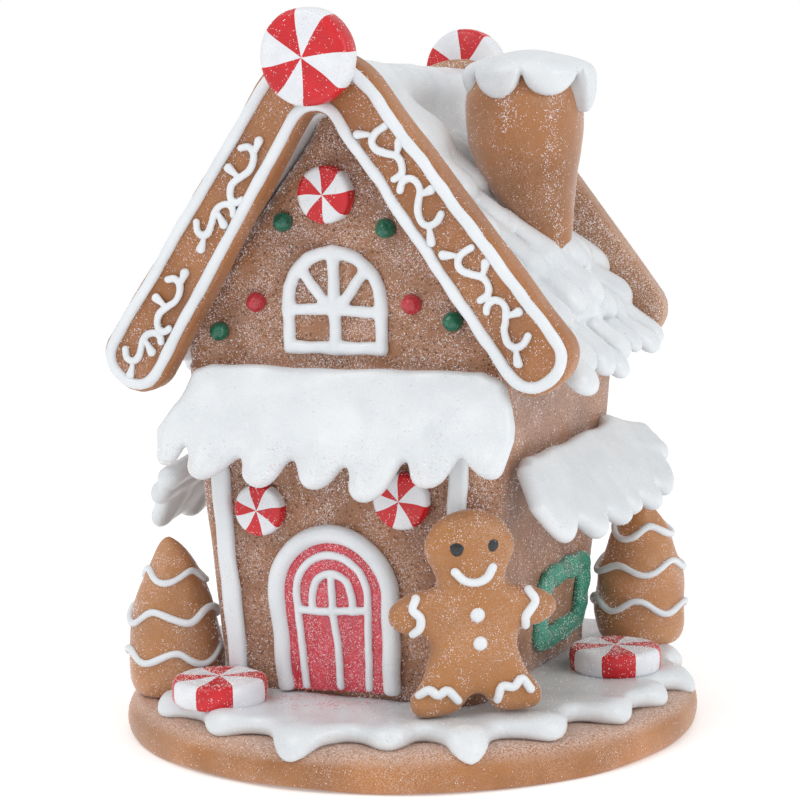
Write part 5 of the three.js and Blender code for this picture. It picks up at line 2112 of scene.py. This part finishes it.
@dataclass
class Glitter:
    """Loose foil flakes stuck to finished surfaces, as one mesh of small closed chips."""

    name: str
    finish: Finish
    size: Pair = (0.28, 0.62)
    depth: float = 0.12
    tilt: float = 0.42
    chips: list[Array] = field(default_factory=list)

    def strew(self, shell: Shell, density: float, seed: int,
              keep: Callable[[Array, Array], Array] | None = None, clump: float = 9.0,
              bare: float = 0.35) -> None:
        """Scatters flakes over a surface in drifts.

        Args:
            shell: the surface, in the object's own frame.
            density: flakes for each square mm where they lie thickest.
            seed: which scatter.
            keep: share to keep at points with given normals.
            clump: size of the drifts in mm.
            bare: share of the surface between drifts left almost bare.
        """
        rng = np.random.default_rng(seed)
        corners = shell.corners()
        cross = np.cross(corners[:, 1] - corners[:, 0], corners[:, 2] - corners[:, 0])
        area = np.linalg.norm(cross, axis=1) / 2
        area = np.where(area > 1e-6, area, 0)
        count = int(area.sum() * density)
        pick = rng.choice(len(area), count, p=area / area.sum())
        u, v = rng.random((2, count, 1))
        fold = u + v > 1
        u, v = np.where(fold, 1 - u, u), np.where(fold, 1 - v, v)
        spots = corners[pick, 0] * (1 - u - v) + corners[pick, 1] * u + corners[pick, 2] * v
        normals = cross[pick] / (2 * area[pick][:, None])
        drift = wobble(spots, clump, 1.0, seed + 1)[:, 0]
        drift = drift + 0.5 * wobble(spots, clump / 3, 1.0, seed + 2)[:, 0]
        chance = np.clip(0.5 + 0.8 * (drift + 0.5 - bare), 0.06, 1.0)
        if keep is not None:
            chance = chance * keep(spots, normals)
        stay = rng.random(count) < chance
        spots, normals = spots[stay], normals[stay]
        n = len(spots)
        facing = normals + self.tilt * rng.normal(size=(n, 3))
        facing /= np.linalg.norm(facing, axis=1)[:, None]
        other = np.cross(facing, rng.normal(size=(n, 3)))
        other /= np.linalg.norm(other, axis=1)[:, None]
        third = np.cross(facing, other)
        reach = rng.uniform(*self.size, size=(n, 1)) * 0.62
        middle = spots + normals * 0.04
        ring = [middle + reach * (math.cos(a) * other + math.sin(a) * third) for a in (0.0, 2.09, 4.19)]
        self.chips.append(np.stack([*ring, middle - facing * self.depth], 1))

    def build(self) -> list[Piece]:
        """All the flakes as one piece.

        Returns:
            The pieces.
        """
        chips = np.concatenate(self.chips)
        base = 4 * np.arange(len(chips))[:, None]
        faces = np.concatenate([base + [0, 1, 2], base + [1, 0, 3], base + [2, 1, 3], base + [0, 2, 3]])
        shell = Shell(chips.reshape(-1, 3), triangles=faces)
        return [Piece(self.name, shell, [self.finish])]


def strewn_glitter(shells: dict[str, Shell]) -> list[Glitter]:
    """All the loose glitter of the ornament, one piece for each kind of place.

    Args:
        shells: the finished surfaces by piece name.

    Returns:
        The glitter pieces.
    """

    def outside(spots: Array, normals: Array) -> Array:
        """Keeps flakes off faces that look straight down."""
        return (normals[:, 2] > -0.7).astype(float)

    def wall_front(spots: Array, normals: Array) -> Array:
        """Keeps the front of the walls and less on the low part."""
        return (normals[:, 1] < -0.5) * np.where(spots[:, 2] > 60, 1.0, 0.45)

    def wall_rest(spots: Array, normals: Array) -> Array:
        """Keeps the other three walls."""
        return ((normals[:, 1] > -0.5) & (np.abs(normals[:, 2]) < 0.6) & (spots[:, 2] < 125)).astype(float)

    def board_faces(spots: Array, normals: Array) -> Array:
        """More on the broad faces than on the edges."""
        return np.where(np.abs(normals[:, 1]) > 0.8, 1.0, 0.12)

    def inner_face(spots: Array, normals: Array) -> Array:
        """Keeps the face of the rear board that looks at the roof."""
        return (normals[:, 1] < -0.8).astype(float)

    def streaks(spots: Array, normals: Array) -> Array:
        """Two upright streaks on the chimney, where the glue ran down from the cap.

        Args:
            spots: places of the flakes.
            normals: directions out of the surface there.

        Returns:
            The share to keep.
        """
        angle = np.degrees(np.arctan2(normals[:, 1], normals[:, 0]))
        wide = np.exp(-(((angle + 42) / 11) ** 2)) * (spots[:, 2] > 128)
        short = np.exp(-(((angle + 88) / 9) ** 2)) * (spots[:, 2] > 162)
        return np.clip(wide + short + 0.06, 0, 1)

    walls = Glitter("glitter_front_wall", Palette.SILVER_FLAKE, (0.22, 0.46))
    walls.strew(shells["clay_house_walls"], 3.0, 201, wall_front, 8, 0.2)
    sides = Glitter("glitter_other_walls", Palette.SILVER_FLAKE, (0.22, 0.5))
    sides.strew(shells["clay_house_walls"], 0.85, 205, wall_rest, 10, 0.3)
    boards = Glitter("glitter_boards", Palette.SILVER_FLAKE, (0.2, 0.46))
    boards.strew(shells["clay_gable_board_front"], 1.75, 211, board_faces, 12, 0.5)
    boards.strew(shells["clay_gable_board_rear"], 3.2, 213, inner_face, 13, 0.1)
    boards.strew(shells["clay_gable_board_rear"], 0.5, 214, board_faces, 13, 0.5)
    figures = Glitter("glitter_figures", Palette.SILVER_FLAKE, (0.2, 0.42))
    figures.strew(shells["clay_man"], 2.0, 221, outside, 9, 0.75)
    figures.strew(shells["clay_tree_left"], 1.8, 223, outside, 10, 0.6)
    figures.strew(shells["clay_tree_right"], 1.5, 225, outside, 10, 0.6)
    figures.strew(shells["clay_chimney"], 6.0, 227, streaks, 6, 0.1)
    figures.strew(shells["cookie_base"], 0.3, 229,
                  lambda p, n: (n[:, 2] > -0.5) * (np.hypot(p[:, 0], p[:, 1]) > 64),
                  16, 0.5)
    sweets = Glitter("glitter_sweets_and_door", Palette.SILVER_FLAKE, (0.18, 0.36))
    for i, (name, density) in enumerate((("peak_front", 0.9), ("peak_rear", 0.9), ("gable", 1.2),
                                         ("door_left", 1.4),
                                         ("door_right", 1.2), ("ground_left", 1.0), ("ground_right", 1.0))):
        sweets.strew(shells[f"mint_{name}_sweet"], density, 231 + i, outside, 5, 0.35)
    for i, name in enumerate(("ground_left", "ground_right")):
        sweets.strew(shells[f"mint_{name}_sweet"], 3.0, 238 + i,
                     lambda p, n: (n[:, 2] > 0.8).astype(float), 5, 0.1)
    sweets.strew(shells["door_panel_glittered"], 3.0, 241,
                 lambda p, n: (n[:, 1] < -0.6).astype(float), 6, 0.0)
    for side in ("right", "left"):
        sweets.strew(shells[f"green_frame_{side}"], 2.0, 243, outside, 5, 0.2)
    icing = Glitter("glitter_icing", Palette.SILVER_FLAKE, (0.2, 0.4))
    for i, name in enumerate(("icing_roof_shingles", "icing_awning_front", "icing_awning_right",
                              "icing_awning_left",
                              "icing_awning_rear", "icing_chimney_cap", "icing_ground_sheet",
                              "icing_corner_strip_left", "icing_corner_strip_right", "icing_door_surround")):
        icing.strew(shells[name], 0.35, 251 + i, lambda p, n: (n[:, 2] > -0.2).astype(float), 12, 0.7)
    icing.strew(shells["icing_awning_front"], 2.2, 265,
                lambda p, n: (n[:, 1] < 0) * np.exp(-(((p[:, 2] - 77) / 5) ** 2)), 12, 0.4)
    red = Glitter("glitter_red_drift", Palette.RED_FLAKE, (0.2, 0.38))
    red.strew(shells["icing_ground_sheet"], 2.0, 271,
              lambda p, n: (n[:, 2] > 0.8) * np.exp(-((p[:, 0] + 2) / 15) ** 2 - ((p[:, 1] + 48) / 9) ** 2),
              9, 0.2)
    return [walls, sides, boards, figures, sweets, icing, red]


# ---------------------------------------------------------------- studio


@dataclass
class Studio:
    """The floor, the lights and the camera."""

    azimuth: float = 24.0
    elevation: float = 7.0
    roll: float = 1.0
    distance: float = 588.3
    lens: float = 95.0
    target: Triple = (-1.864, -0.83, 88.7)
    sky: float = 0.8

    def floor(self) -> None:
        """A wide sheet of backdrop paper just under the base."""
        reach = 1400.0
        steps = np.linspace(-reach, reach, 9)
        x, y = np.meshgrid(steps, steps, indexing="ij")
        points = np.stack([x, y, 0 * x - 0.05], -1).reshape(-1, 3)
        paper = Shell(points, grid_faces(9, 9, (False, False)))
        paper.to_object("backdrop_floor", [SeamlessPaper().material()])

    def lamp(self, name: str, azimuth: float, elevation: float, reach: float, size: float,
             power: float) -> None:
        """One soft square lamp aimed at the middle of the ornament.

        Args:
            name: the lamp's name.
            azimuth: where it stands, in degrees from the front towards the right.
            elevation: how high it stands, in degrees.
            reach: its distance in mm.
            size: its width in mm.
            power: its power in watts.
        """
        a, e = math.radians(azimuth), math.radians(elevation)
        away = Vector((math.sin(a) * math.cos(e), -math.cos(a) * math.cos(e), math.sin(e)))
        light = bpy.data.lights.new(name, "AREA")
        light.size = size * MM
        light.energy = power
        made = bpy.data.objects.new(name, light)
        made.location = away * reach * MM + Vector((0, 0, 90 * MM))
        made.rotation_euler = away.to_track_quat("Z", "Y").to_euler()
        bpy.context.scene.collection.objects.link(made)

    def sky_light(self) -> None:
        """An even white surround."""
        world = bpy.data.worlds.new("studio_white")
        world.use_nodes = True
        tree = world.node_tree
        tree.nodes.clear()
        path = add_node(tree, "ShaderNodeLightPath")
        strength = add_node(tree, "ShaderNodeMapRange", {"To Min": self.sky, "To Max": 1.0},
                            {"Value": path.outputs["Is Camera Ray"]})
        sky = add_node(tree, "ShaderNodeBackground", {"Color": (1, 1, 1, 1)},
                       {"Strength": strength.outputs[0]})
        add_node(tree, "ShaderNodeOutputWorld", links={"Surface": sky.outputs[0]})
        bpy.context.scene.world = world

    def camera(self) -> None:
        """The camera, a little to the right of the front and slightly above the middle."""
        a, e, r = (math.radians(v) for v in (self.azimuth, self.elevation, self.roll))
        back = Vector((math.sin(a) * math.cos(e), -math.cos(a) * math.cos(e), math.sin(e)))
        right = Vector((math.cos(a), math.sin(a), 0))
        up = back.cross(right)
        right, up = right * math.cos(r) - up * math.sin(r), up * math.cos(r) + right * math.sin(r)
        data = bpy.data.cameras.new("studio_camera")
        data.lens, data.sensor_width = self.lens, 36.0
        data.clip_start, data.clip_end = 0.01, 20.0
        made = bpy.data.objects.new("studio_camera", data)
        spot = (Vector(self.target) + back * self.distance) * MM
        made.matrix_world = Matrix.Translation(spot) @ Matrix((right, up, back)).transposed().to_4x4()
        bpy.context.scene.collection.objects.link(made)
        bpy.context.scene.camera = made

    def build(self) -> None:
        """Floor, surround, lamps and camera."""
        self.floor()
        self.sky_light()
        self.lamp("key_light", -30, 48, 900, 450, 1.7)
        self.lamp("side_light", 75, 22, 900, 400, 1.6)
        self.camera()
        bpy.context.scene.view_settings.view_transform = "Standard"
        bpy.context.scene.view_settings.look = "None"


# ---------------------------------------------------------------- assembly


def sub_assemblies() -> Iterable[object]:
    """Every sub-assembly in the order in which it is made.

    Returns:
        The sub-assemblies.
    """
    house = House()
    boards = GableBoards()
    yield CookieBase()
    yield GroundSnow()
    yield house
    yield Roof(house, boards)
    yield boards
    yield Chimney()
    yield Awning(house, AwningPlace.FRONT, 101.6, 100, 2.2, 24, 19,
                 ((8.6, 0.42, 27.4, 17.4), (16.8, 0.3, 31.0, 19.8), (13.8, 0.32, 32.6, 20.4),
                  (15.6, 0.4, 31.8, 20.8),
                  (14.4, 0.32, 34.8, 18.6), (14.8, 0.44, 30.0, 18.2), (12.4, 0.62, 27.2, 17.0)),
                 slant=(-6, -1), shoulder=9)
    yield Awning(house, AwningPlace.REAR, 98, 70, 0, 24, 23,
                 ((9, 0.5, 28, 24), (11, 0.35, 31, 25), (10, 0.5, 30, 25), (11, 0.4, 32, 25),
                  (10, 0.5, 31, 24),
                  (10, 0.6, 30, 24), (9, 0.5, 28, 22)), slant=(-2, -2), shoulder=5)
    yield Awning(house, AwningPlace.RIGHT, 77.5, 90, house.along(5), 45.5, 13,
                 ((18.5, 0.5, 24, 18), (17, 0.53, 27.5, 20), (12.5, 0.6, 27.5, 21), (10.5, 0.5, 27, 21),
                  (13, 0.54, 28.5, 20), (21, 0.35, 27, 14)), slant=(-3, -5), fingers=3, twist=9)
    yield Awning(house, AwningPlace.LEFT, 77.5, 90, -house.along(6), 46, 20,
                 ((12, 0.5, 28, 23), (14, 0.4, 30, 24), (13, 0.5, 29, 24), (14, 0.4, 30, 24),
                  (18, 0.5, 30, 25),
                  (19, 0.5, 29, 18)), slant=(-3, -5), fingers=2, twist=-5)
    yield FrontWall(house)
    yield GableWindow(house)
    yield SideFrames(house)
    yield from peppermints(house, boards)
    yield Beads(house)
    yield GingerbreadMan()
    yield ConeTree("left", -54.8, -38, 10.1, 0.4, 131)
    yield ConeTree("right", 53.8, 43.6, 14.8, 1.9, 137)


def main() -> None:
    """Builds every sub-assembly in order, then the glitter and the studio."""
    logging.basicConfig(level=logging.INFO, format="%(name)s: %(message)s")
    shells: dict[str, Shell] = {}
    for assembly in sub_assemblies():
        for piece in assembly.build():
            piece.install()
            shells[piece.name] = piece.shell
    for glitter in strewn_glitter(shells):
        for piece in glitter.build():
            piece.install()
    Studio().build()


if __name__ == "__main__":
    main()
